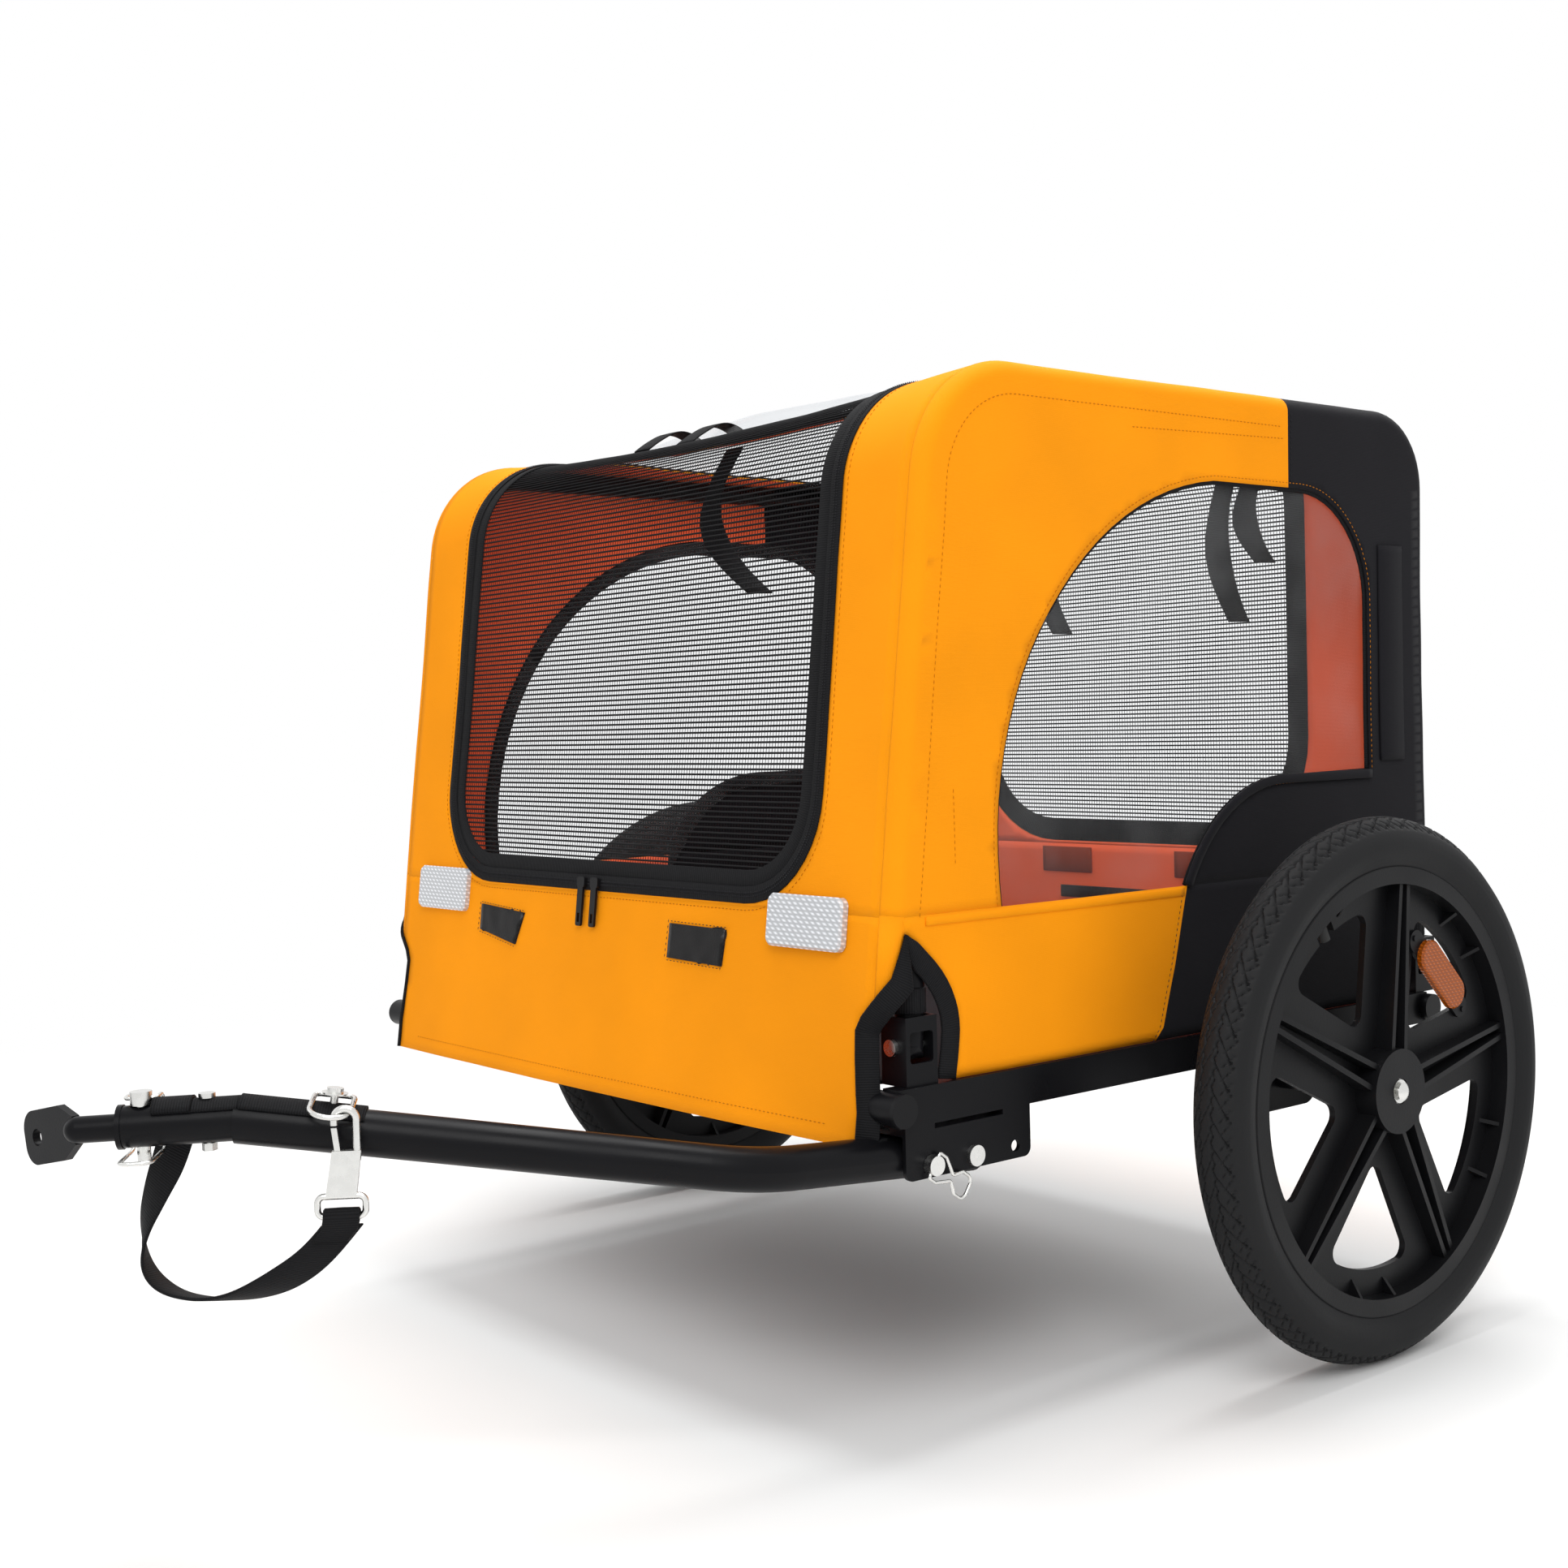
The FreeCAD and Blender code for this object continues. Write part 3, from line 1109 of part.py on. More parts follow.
def strap_webbing():
    spread = WEBBING_SPREAD + WEBBING_SPREAD
    on_top = band(SLEEVE_R, -OVERRUN, WEBBING_FRONT, -WEBBING_SPREAD, spread)
    wrap = band(SLEEVE_R, WRAP_START, WEBBING_FRONT, 0, WRAP_TURN)
    front_hole = upright(STRAP_SCREW_ALONG, 0, SLEEVE_OD, STRAP_SCREW_R + RUN_FIT)
    front = on_sleeve(on_top.fuse(wrap).cut(front_hole)).common(ahead_of_mitre())
    rear_hole = upright(RING_ALONG, 0, DRAWBAR_OD, STRAP_SCREW_R + RUN_FIT)
    rear = band(DRAWBAR_R, -OVERRUN, WEBBING_REAR, -WEBBING_SPREAD, spread).cut(rear_hole)
    return front.fuse(on_bar(rear).cut(ahead_of_mitre()))


def closed_wire_form(points, radii, radius):
    # A ring bent from one wire, split and joined in the middle of its first run
    middle = (points[0] + points[-1]) * HALF
    ring = bent_path([middle] + points + [middle], radii)
    return swept(ring, radius)


def d_ring():
    # Local X runs along the bar, local Y towards the near side, the straight bar at Y zero
    end = RING_LEG + RING_HALF_WIDTH
    points = [
        V(-RING_HALF_WIDTH, 0, 0),
        V(-RING_HALF_WIDTH, end, 0),
        V(RING_HALF_WIDTH, end, 0),
        V(RING_HALF_WIDTH, 0, 0),
    ]
    round_end = RING_HALF_WIDTH - SLIDE_FIT
    form = closed_wire_form(points, [RING_CORNER, round_end, round_end, RING_CORNER], RING_WIRE_R)
    tilted = rotated(form.mirror(ORIGIN, REARWARD), LEFTWARD, RING_TILT)
    return on_bar(shifted(tilted, V(RING_ALONG, RING_BEYOND_SCREW, WEBBING_TOP + RING_LIFT)))


def hook_place():
    near = V(BAR_WAY).cross(UP).normalize()
    up = near.cross(BAR_WAY)
    return ELBOW_AT + BAR_WAY * HOOK_ALONG + near * HOOK_OUT + up * HOOK_LIFT


def on_hook(shape):
    return placed(shape, hook_place(), HOOK_WAY)


def hook_body_plate():
    back = -HOOK_BODY * HALF
    wire = outline(
        V(-HOOK_BODY_LEFT, back, -HOOK_BODY_TOP),
        V(HOOK_BODY_RIGHT, back, -HOOK_BODY_TOP),
        V(HOOK_BODY_BOTTOM_HALF - HOOK_EYE_SHIFT, back, -HOOK_BODY_BOTTOM),
        V(-HOOK_BODY_BOTTOM_HALF - HOOK_EYE_SHIFT, back, -HOOK_BODY_BOTTOM),
    )
    body = plate(wire, V(0, HOOK_BODY, 0))
    slot_side = GATE_EYE_R + SEAT_GAP
    pivot = V(-GATE_PIVOT_LEFT, 0, -GATE_PIVOT_DROP)
    slot = box(-HOOK_EYE_HALF_WIDTH, pivot.x + slot_side, -GATE_SLOT * HALF, GATE_SLOT * HALF,
               pivot.z - slot_side, HOOK_NOSE)
    across = V(0, HOOK_BODY * HALF, 0)
    return body.cut(slot).fuse(rod(pivot - across, pivot + across, GATE_PIVOT_R))


def snap_hook():
    bend = wire_form(
        [
            V(HOOK_BEND, 0, -HOOK_LEG),
            V(HOOK_BEND, 0, HOOK_BEND),
            V(-HOOK_BEND, 0, HOOK_BEND),
            V(-HOOK_BEND, 0, -HOOK_NOSE),
        ],
        [HOOK_BEND - SLIDE_FIT, HOOK_BEND - SLIDE_FIT],
        HOOK_WIRE_R,
    )
    left = -HOOK_EYE_SHIFT - HOOK_EYE_HALF_WIDTH
    right = HOOK_EYE_HALF_WIDTH - HOOK_EYE_SHIFT
    eye = closed_wire_form(
        [
            V(left, 0, -HOOK_BODY_BOTTOM),
            V(left, 0, -HOOK_EYE_BOTTOM),
            V(right, 0, -HOOK_EYE_BOTTOM),
            V(right, 0, -HOOK_BODY_BOTTOM),
        ],
        [HOOK_EYE_CORNER] * 4,
        HOOK_EYE_R,
    )
    return on_hook(hook_body_plate().fuse([bend, eye]))


def snap_gate():
    pivot = V(-GATE_PIVOT_LEFT, 0, -GATE_PIVOT_DROP)
    thick = V(0, GATE * HALF, 0)
    eye = rod(pivot - thick, pivot + thick, GATE_EYE_R)
    tip_z = -HOOK_NOSE - HOOK_WIRE_R * HALF - SEAT_GAP
    half = GATE_WIDTH * HALF
    back = -GATE * HALF
    arm = plate(outline(
        V(pivot.x - half, back, pivot.z),
        V(pivot.x + half, back, pivot.z),
        V(half - HOOK_BEND, back, tip_z),
        V(-half - HOOK_BEND, back, tip_z),
    ), V(0, GATE, 0))
    return on_hook(eye.fuse(arm).cut(rod(pivot - thick, pivot + thick, GATE_PIVOT_R + RUN_FIT)))


def strap_points():
    near = V(SLEEVE_WAY).cross(UP).normalize() * -1
    off_sleeve = SLEEVE_R + WEBBING_GAP + WEBBING + SEAT_GAP + STRAP_R
    start = ELBOW_AT + SLEEVE_WAY * STRAP_EXIT_ALONG - near * off_sleeve
    eye_drop = HOOK_EYE_BOTTOM + HOOK_EYE_R + SEAT_GAP + STRAP_R * BOW_SHARE
    end = hook_place() - HOOK_WAY * HOOK_EYE_SHIFT - UP * eye_drop
    return [start] + [ELBOW_AT + point for point in STRAP_ROUTE] + [end]


def safety_strap():
    points = strap_points()
    radii = []
    for before, corner, after in zip(points, points[1:], points[2:]):
        back = before - corner
        ahead = after - corner
        shorter = min(back.Length, ahead.Length)
        radii.append(BEND_RUN_SHARE * shorter * math.tan(HALF * back.getAngle(ahead)))
    path = bent_path(points, radii)
    solid = swept(path, STRAP_R)
    print("strap radii", [round(radius, 1) for radius in radii])
    print("strap length", round(path.Length, 1), "volume", round(solid.Volume),
          "of", round(path.Length * math.pi * STRAP_R ** 2))
    return solid


def build_drawbar():
    put("drawbar_tube", drawbar_tube())
    put("drawbar_sleeve", drawbar_sleeve())
    put("hitch_coupler", hitch_coupler())
    put("hitch_pin", hitch_pin())
    put("hitch_pin_clip", hitch_pin_clip())
    put("drawbar_screws", drawbar_screws())
    put("strap_webbing", strap_webbing())
    put("d_ring", d_ring())
    put("snap_hook", snap_hook())
    put("snap_gate", snap_gate())
    put("safety_strap", safety_strap())


# Fabric cover

def front_slope():
    # The way up the front cloth, tangent to its top bend, and the way out of it
    reach = FRONT_BEND_AT - HEM_FRONT
    angle = math.atan2(reach.z, reach.y) + math.asin(COVER_FRONT_R / reach.Length)
    return V(0, math.cos(angle), math.sin(angle)), V(0, -math.sin(angle), math.cos(angle))


def cover_block(inset, drop):
    # The closed block inside the cloth's outer face moved in by inset, its floor lowered by drop
    way, out = front_slope()
    top = COVER_TOP_Z - inset
    rear = COVER_REAR_Y - inset
    front_r = COVER_FRONT_R - inset
    rear_r = COVER_REAR_R - inset
    floor_z = HEM_FRONT.z - drop
    tangent = FRONT_BEND_AT + out * front_r
    foot = tangent - way * ((tangent.z - floor_z) / way.z)
    crown = (out + UP).normalize()
    shoulder = (REARWARD + UP).normalize()
    half = COVER_X - inset
    aside = V(-half, 0, 0)
    wire = outline(
        foot + aside,
        tangent + aside,
        (FRONT_BEND_AT + crown * front_r + aside, V(-half, FRONT_BEND_AT.y, top)),
        V(-half, REAR_BEND_AT.y, top),
        (REAR_BEND_AT + shoulder * rear_r + aside, V(-half, rear, REAR_BEND_AT.z)),
        V(-half, rear, floor_z),
    )
    block = plate(wire, V(half + half, 0, 0))
    long_edges = []
    for edge in block.Edges:
        limits = edge.BoundBox
        on_side = limits.XLength < RUN_FIT
        if on_side and limits.ZMax > floor_z + OVERRUN:
            long_edges.append(edge)
    return block.makeFillet(COVER_ROUND - inset, long_edges)


def cover_shell(inset, thickness):
    return cover_block(inset, 0).cut(cover_block(inset + thickness, OVERRUN))


def corner_cutout(front_y, way):
    # Arch over a hoop bracket, cut on the diagonal through the front left corner
    half = CUTOUT_HALF_WIDTH
    spring = RAIL_TOP_Z + CUTOUT_SPRING
    top = RAIL_TOP_Z + CUTOUT_HEIGHT
    bottom = HEM_FRONT.z - OVERRUN
    shoulder_y = half * CUTOUT_SHARES[0]
    shoulder_z = spring + (top - spring) * CUTOUT_SHARES[1]
    reach = CUTOUT_REACH
    wire = outline(
        V(-reach, -half, bottom),
        V(-reach, half, bottom),
        V(-reach, half, spring),
        (V(-reach, shoulder_y, shoulder_z), V(-reach, 0, top)),
        (V(-reach, -shoulder_y, shoulder_z), V(-reach, -half, spring)),
    )
    arch = plate(wire, V(reach + reach, 0, 0))
    return placed(arch, V(COVER_X - COVER_ROUND, front_y, 0), way)


def corner_cutouts():
    front_y = HEM_FRONT.y + COVER_ROUND + CUTOUT_SHIFT
    rear_y = COVER_REAR_Y - COVER_ROUND - CUTOUT_SHIFT
    front = corner_cutout(front_y, LEFTWARD - REARWARD)
    rear = corner_cutout(rear_y, LEFTWARD + REARWARD)
    return [front, rear, mirrored(front), mirrored(rear)]


def door_block(grow, y0, y1, top_z, top_round):
    # Rounded door outline, grown all round, between two Y planes
    half = DOOR_HALF_WIDTH + grow
    low = DOOR_BOTTOM_Z - grow
    block = box(-half, half, y0, y1, low, top_z + grow)
    corners = []
    for edge in edges_along(block, REARWARD):
        if top_round or edge.BoundBox.ZMax < low + OVERRUN:
            corners.append(edge)
    return block.makeFillet(DOOR_ROUND + grow, corners)


def front_door_block(grow, hinge_gap=0):
    return door_block(grow, HEM_FRONT.y - OVERRUN, FRONT_SEAM_Y - hinge_gap, COVER_TOP_Z + DOOR_ROUND, False)


def rear_door_block(grow, y0, y1):
    return door_block(grow, y0, y1, COVER_TOP_Z - REAR_DOOR_BELOW_TOP, True)


def side_window_block(x0, x1):
    sill = RAIL_TOP_Z + WINDOW_SILL_OVER_RAIL
    crown = COVER_TOP_Z - WINDOW_BELOW_TOP
    arch = AXLE_Z + TYRE_R + ARCH_OVER_TYRE
    front = V(x0, -WINDOW_FRONT, sill)
    crown_front = V(x0, -WINDOW_CROWN_FRONT, crown)
    crown_rear = V(x0, WINDOW_CROWN_REAR, crown)
    shoulder = V(x0, WINDOW_REAR, crown - WINDOW_SHOULDER_DROP)
    spring = V(x0, ARCH_SPRING, arch)
    arch_foot = V(x0, -ARCH_FRONT, sill)
    wire = outline(
        front,
        (between(front, crown_front, WINDOW_FRONT_SHARES), crown_front),
        crown_rear,
        (between(crown_rear, shoulder, WINDOW_REAR_SHARES), shoulder),
        V(x0, WINDOW_REAR, arch),
        spring,
        (between(spring, arch_foot, ARCH_SHARES), arch_foot),
    )
    return plate(wire, V(x1 - x0, 0, 0))


def roof_window_block(z0, z1):
    half = ROOF_WINDOW_HALF_WIDTH
    front = FRONT_SEAM_Y + ROOF_WINDOW_MARGIN
    rear = REAR_SEAM_Y - ROOF_WINDOW_MARGIN
    return box(-half, half, front, rear, z0, z1)


def on_front(shape, x, height):
    # Local Y points in through the front cloth and local Z up it
    way, _ = front_slope()
    foot = HEM_FRONT + way * ((height - HEM_FRONT.z) / way.z)
    return placed(shape, V(x, foot.y, height), LEFTWARD, way)


def front_patch(width, height, thick):
    return box(-width * HALF, width * HALF, -thick, 0, -height * HALF, height * HALF)


def front_reflector(x):
    body = rounded(front_patch(FRONT_REFLECTOR_WIDTH, FRONT_REFLECTOR_HEIGHT, FRONT_REFLECTOR),
                   REARWARD, FRONT_REFLECTOR_ROUND)
    face_edges = [edge for edge in body.Edges if edge.BoundBox.YMax < -FRONT_REFLECTOR + RUN_FIT]
    beveled = body.makeChamfer(FRONT_REFLECTOR_BEVEL, face_edges)
    return on_front(beveled, x, RAIL_TOP_Z + FRONT_REFLECTOR_OVER_RAIL)


def zip_slider(x):
    back = -ZIP_PROUD - SEAT_GAP
    half = SLIDER_WIDTH * HALF
    body = box(-half, half, back - SLIDER, back, -SLIDER_HEIGHT * HALF, SLIDER_HEIGHT * HALF)
    body = rounded(body, REARWARD, SLIDER * HALF)
    side = PULL_WIDTH * HALF
    low = -PULL_LENGTH - SLIDER_HEIGHT * HALF
    tag = rounded(box(-side, side, back - SLIDER, back - SLIDER + PULL, low, 0), REARWARD, PULL)
    slot_side = PULL_SLOT * HALF
    slot = box(-slot_side, slot_side, back - SLIDER, back, low + PULL_SLOT, low + PULL_SLOT + PULL_WIDTH)
    return on_front(body.fuse(tag.cut(slot)), x, DOOR_BOTTOM_Z + ZIP_WIDTH * HALF)


def tie_strap(x, y, top, length):
    half = TIE_WIDTH * HALF
    return box(x - half, x + half, y - TIE * HALF, y + TIE * HALF, top - length, top)


def tie_straps():
    # Strips that hang inside, under the roof's front edge and under the rear bend
    top = COVER_TOP_Z - CLOTH - SEAT_GAP
    y = FRONT_SEAM_Y + FRONT_TIE_BEHIND_SEAM
    ties = [tie_strap(x, y, top, FRONT_TIE_LENGTH) for x in FRONT_TIE_XS]
    inside = COVER_REAR_R - CLOTH - SEAT_GAP
    outer_edge = REAR_TIE_BEHIND_BEND + TIE * HALF
    rear_top = REAR_BEND_AT.z + math.sqrt(inside ** 2 - outer_edge ** 2)
    rear_y = REAR_BEND_AT.y + REAR_TIE_BEHIND_BEND
    return ties + [tie_strap(x, rear_y, rear_top, REAR_TIE_LENGTH) for x in REAR_TIE_XS]


def floor_panel():
    half = BRACKET_X - BRACKET_DEPTH - FLOOR_SIDE_GAP
    low = FRAME_Z + TUBE_R + SEAT_GAP
    sheet = box(-half, half, FLOOR_FRONT_GAP - AXLE_TO_FRONT_TUBE, AXLE_TO_REAR_TUBE - FLOOR_REAR_GAP,
                low, low + FLOOR)
    return rounded(sheet, UP, FLOOR_ROUND)


def build_cover():
    shell = cover_shell(0, CLOTH).cut(corner_cutouts())
    zip_shell = cover_shell(-ZIP_PROUD, ZIP_PROUD + CLOTH)
    mesh_shell = cover_shell(FILM_INSET, FILM)
    far = COVER_X + OVERRUN
    front = HEM_FRONT.y - OVERRUN
    rear = COVER_REAR_Y + OVERRUN
    low = HEM_FRONT.z - OVERRUN
    rear_low = FRAME_Z - REAR_HEM_BELOW_TUBE
    top = COVER_TOP_Z + OVERRUN
    film_out = FILM_INSET
    film_in = FILM_INSET + FILM
    side_low = RAIL_TOP_Z + SEAT_GAP

    side = shell.common(box(SIDE_SEAM_X, far, front, rear, side_low, top))
    side = side.cut(side_window_block(SIDE_SEAM_X, far))
    put("left_side_panel", side)
    put("right_side_panel", mirrored(side))
    put("side_windows", pair(side_window_block(COVER_X - film_in, COVER_X - film_out)))

    middle_front = shell.common(box(-SIDE_SEAM_X, SIDE_SEAM_X, front, FRONT_SEAM_Y, low, top))
    put("front_panel", middle_front.cut(front_door_block(0)))
    put("front_mesh_door", mesh_shell.common(front_door_block(-ZIP_WIDTH - SEAT_GAP, SEAT_GAP)))
    put("door_zip", zip_shell.common(front_door_block(0)).cut(front_door_block(-ZIP_WIDTH)))
    put("zip_slider_left", zip_slider(LEFT_SLIDER_X))
    put("zip_slider_right", zip_slider(RIGHT_SLIDER_X))

    middle_roof = shell.common(box(-SIDE_SEAM_X, SIDE_SEAM_X, FRONT_SEAM_Y, REAR_SEAM_Y, low, top))
    roof_low = COVER_TOP_Z - OVERRUN
    put("roof_panel", middle_roof.cut(roof_window_block(roof_low, top)))
    put("roof_window", roof_window_block(COVER_TOP_Z - film_in, COVER_TOP_Z - film_out))

    middle_rear = shell.common(box(-SIDE_SEAM_X, SIDE_SEAM_X, REAR_SEAM_Y, rear, rear_low, top))
    put("rear_panel", middle_rear.cut(rear_door_block(0, REAR_SEAM_Y, rear)))
    put("rear_mesh_door", rear_door_block(0, COVER_REAR_Y - film_in, COVER_REAR_Y - film_out))

    put("floor_panel", floor_panel())
    put("front_reflectors", *[front_reflector(x) for x in (-FRONT_REFLECTOR_X, FRONT_REFLECTOR_X)])
    tab = rounded(front_patch(TAB_WIDTH, TAB_HEIGHT, TAB), REARWARD, TAB)
    put("hook_loop_tabs", *[on_front(tab, x, RAIL_TOP_Z + TAB_OVER_RAIL) for x in (FAR_TAB_X, NEAR_TAB_X)])
    put("tie_straps", *tie_straps())


def export_all():
    # The strap, its hook and gate hang below and ahead, so they don't set the middle of the box
    hanging = ("safety_strap", "snap_hook", "snap_gate")
    fixed = [shape for node, shape in NODES.items() if node not in hanging]
    limits = Part.makeCompound(fixed).optimalBoundingBox(False)
    middle = V(0, -(limits.YMin + limits.YMax) * HALF, 0)
    print("axle line at y", round(middle.y, 3), "box", limits)
    os.makedirs("parts", exist_ok=True)
    for node, shape in NODES.items():
        shifted(shape, middle).exportStep("parts/" + node + ".step")


build_wheels()
build_frame()
build_drawbar()
build_cover()
export_all()
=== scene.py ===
import json
import math

import bpy
import numpy as np
from mathutils import Matrix, Vector, noise
from mathutils.geometry import delaunay_2d_cdt
from mathutils.kdtree import KDTree


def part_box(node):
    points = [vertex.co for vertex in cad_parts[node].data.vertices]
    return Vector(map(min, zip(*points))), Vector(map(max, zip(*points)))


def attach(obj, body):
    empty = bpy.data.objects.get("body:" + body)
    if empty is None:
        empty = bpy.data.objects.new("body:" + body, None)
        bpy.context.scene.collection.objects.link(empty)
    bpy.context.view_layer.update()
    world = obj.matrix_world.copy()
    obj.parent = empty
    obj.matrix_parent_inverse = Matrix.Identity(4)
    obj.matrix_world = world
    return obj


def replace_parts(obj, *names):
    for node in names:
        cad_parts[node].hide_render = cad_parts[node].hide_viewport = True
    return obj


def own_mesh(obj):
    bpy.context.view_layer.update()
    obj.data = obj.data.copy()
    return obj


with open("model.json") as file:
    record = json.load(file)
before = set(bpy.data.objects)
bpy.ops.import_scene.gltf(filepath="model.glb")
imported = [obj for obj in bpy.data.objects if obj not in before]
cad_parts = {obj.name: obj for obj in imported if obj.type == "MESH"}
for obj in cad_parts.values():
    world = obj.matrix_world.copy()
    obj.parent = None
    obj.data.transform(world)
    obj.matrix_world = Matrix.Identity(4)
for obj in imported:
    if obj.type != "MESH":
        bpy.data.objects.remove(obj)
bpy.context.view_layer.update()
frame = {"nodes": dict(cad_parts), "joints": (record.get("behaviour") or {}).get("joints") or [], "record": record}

UP = Vector((0, 0, 1))
LEFTWARD = Vector((1, 0, 0))
SIDES = (("left", 1), ("right", -1))
DIAGONAL = math.sqrt(2)
FINE = 1e-6
TINY = 1e-12

# Places read from the frame, in metres
JOINTS = {joint["name"]: joint for joint in frame["joints"]}
WHEEL_X, AXLE_Y, AXLE_Z = JOINTS["left_wheel_spin"]["pos_m"]
COVER_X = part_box("left_side_panel")[1].x
SIDE_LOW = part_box("left_side_panel")[0].z
SEAM_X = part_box("front_panel")[1].x
HEM_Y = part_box("front_panel")[0].y
HEM_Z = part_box("front_panel")[0].z
FRONT_SEAM_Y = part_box("front_panel")[1].y
TOP_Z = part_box("roof_panel")[1].z
REAR_SEAM_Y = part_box("roof_panel")[1].y
REAR_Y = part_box("rear_panel")[1].y
REAR_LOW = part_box("rear_panel")[0].z
ROUND = COVER_X - SEAM_X

# Camera of the photograph
CAMERA_AT = Vector((1.2485, AXLE_Y - 1.2500, 0.4797))
CAMERA_RIGHT = Vector((0.6358, 0.7714, -0.0260))
CAMERA_UP = Vector((-0.0073, 0.0397, 0.9992))
LENS_MM = 45.29
SENSOR_MM = 36.0

# Cover, in metres
FRONT_R = 0.092
REAR_R = 0.062
FRONT_SEAM_BEHIND_BEND = 0.013
CLOTH = 0.0013
CLOTH_STEP = 0.008
GRID_GAP_SHARE = 0.6
WELD_DECIMALS = 5
LINE_STEP = 0.006
SEAM_ALLOWANCE = 0.006
LEAST_SHEET_SHARE = 0.305
SILL_Z = 0.353
FRONT_SAG = 0.015
ROOF_SAG = 0.010
SEAM_FADE = 0.05
ROOF_SAG_FULL = 0.2
ROOF_SAG_END = 0.1
HEM_BILLOW = 0.007
HEM_BILLOW_REACH = 0.14
BIG_NOISE = 0.15
BIG_LIFT = 0.0016
SMALL_NOISE = 0.05
SMALL_LIFT = 0.0005

# Front door and rear opening, in metres
DOOR_HALF = 0.245
DOOR_LOW = 0.356
DOOR_ROUND = 0.076
DOOR_NET_DROP = 0.0012
DOOR_BINDING_IN = 0.007
DOOR_BINDING_TOP = 0.004
DOOR_BINDING_DROP = 0.0004
DOOR_TOP_TAPE_IN = 0.012
DOOR_TOP_TAPE_BELOW = 0.006
ZIP_WIDTH = 0.009
ZIP_TAPE_LIFT = 0.0004
ZIP_COIL_LIFT = 0.0010
ZIP_COIL_ROW = 0.0012
REAR_DOOR_HALF = 0.203
REAR_DOOR_ROUND = 0.100
REAR_NET_DROP = 0.0006
REAR_TOP_TAPE_BELOW = 0.006
REAR_TAB_SHADOW_X = 0.084
# Painted shade of the rear tabs on the lining of the rear wall: place across, height and half length
REAR_TAB_SHADOW_Z = 0.3375
REAR_TAB_SHADOW_HALF = 0.032
REAR_STRIP_Z = 0.306
REAR_STRIP_HALF = 0.0924
REAR_STRIP_LIFT = 0.0006
REAR_LINING_GAP = 0.0012
NET_GAP = 0.002
NET_ROW_PITCH = 0.0038
NET_ROW_THREAD = 0.0015
NET_COLUMN_PITCH = 0.0032
NET_COLUMN_THREAD = 0.0006
NET_STEPS = 36

# Corner cut-outs, in metres and degrees
CUT_HALF = 0.037
CUT_SPRING = 0.277
CUT_TOP = 0.345
CUT_SHOULDER_SHARES = (0.74, 0.62)
CUT_STEPS = 10
CUT_FINE_STEPS = 24
CUT_LEAN = 45
CUT_BINDING_SHIFT = 0.0065
CUT_BINDING_TAPER = 0.030
CUT_SIDE_TAPER = 0.014
CUT_BINDING_TIP_SHARE = 0.12
CUT_BINDING_LIFT = 0.0006
CUT_BINDING_STEP = 0.005
CUT_SIDE_STEPS = 16
FRONT_CUT_TURNS = (0, 7, 60, 90)
FRONT_CUT_ZS = (0.2985, 0.2999, 0.3137, 0.3420)
FRONT_EDGE = (
    (-0.007, 0.2286), (-0.009, 0.2396), (-0.012, 0.262),
    (-0.0135, 0.280), (-0.009, 0.2887), (0.0, 0.2985),
)
SIDE_EDGE_YS = (-0.3491, -0.3471, -0.3455, -0.3446, -0.3467, -0.3528, -0.3622, -0.3747, -0.3874)
SIDE_EDGE_ZS = (0.2443, 0.2553, 0.2670, 0.2788, 0.2921, 0.3058, 0.3185, 0.3300, 0.3420)
SIDE_EDGE_STEPS = 24
CORNER_OVERLAP = 0.0015
REAR_CUT_APEX = 46
REAR_CUT_Y = REAR_Y - ROUND - 0.005
REAR_BINDING_SHIFT = 0.001
EDGE_TURNS = [math.radians(turn) for turn in (0, 7, 20, 33, 46, 60, 70, 80, 90)]

# Side window and the black rear of the side, as distances behind the axle
WINDOW_FRONT = -0.302
WINDOW_CROWN_Z = TOP_Z - 0.070
WINDOW_CROWN_FRONT = -0.066
WINDOW_CROWN_REAR = 0.040
WINDOW_REAR = 0.125
WINDOW_SHOULDER_Z = WINDOW_CROWN_Z - 0.091
WINDOW_FRONT_SHARES = (0.24, 0.68)
WINDOW_REAR_SHARES = (0.765, 0.348)
WINDOW_ARC_STEPS = 24
WINDOW_LAP = 0.010
WINDOW_BINDING_OUT = 0.004
WINDOW_BINDING_GAP = 0.0010
WINDOW_STITCH_OUT = 0.0035
ARCH_Z = 0.427
ARCH_SPRING = 0.010
ARCH_FOOT = -0.108
ARCH_SHARES = (0.627, 0.308)
ARCH_SLACK = 0.001
ARCH_BEAD_LIFT = 0.0012
BLACK_TOP_Y = 0.024
BLACK_ARCH_RISE = 0.003
SPLIT_ZS = (0.242, 0.252, 0.295, SILL_Z)
SPLIT_YS = (-0.145, -0.136, -0.123, ARCH_FOOT)

# Clear film, in metres
FILM = 0.0005
FILM_STEP = 0.007
FILM_BEHIND = 0.0045
FILM_WAVE = 0.0045
FILM_WAVE_SIZE = 0.11
FILM_RIPPLE = 0.0012
FILM_RIPPLE_SIZE = 0.035
FILM_FOLD = [(-0.2555, 0.5513), (-0.2445, 0.5357), (-0.2123, 0.4898), (-0.1853, 0.4345), (-0.1624, 0.3779)]
FILM_FOLD_LIFT = 0.003
FILM_FOLD_REACH = 0.014
ROOF_WINDOW_HALF = 0.250
ROOF_WINDOW_MARGIN = 0.016
ROOF_WINDOW_LAP = 0.01
ROOF_FILM_STEP = 0.012
ROOF_FILM_BELOW = 0.0005
ROOF_FILM_WAVE_SHARE = 0.6
ROOF_BULGE = 0.019
ROOF_BULGE_RISE = (-0.02, 0.035)
ROOF_BULGE_FALL = (0.05, 0.2)
ROOF_BULGE_FALL_SHARE = 0.8
ROOF_TAPE_OUT = 0.004
ROOF_TAPE_STEP = 0.008
ROOF_TAPE_LIFT = 0.0008

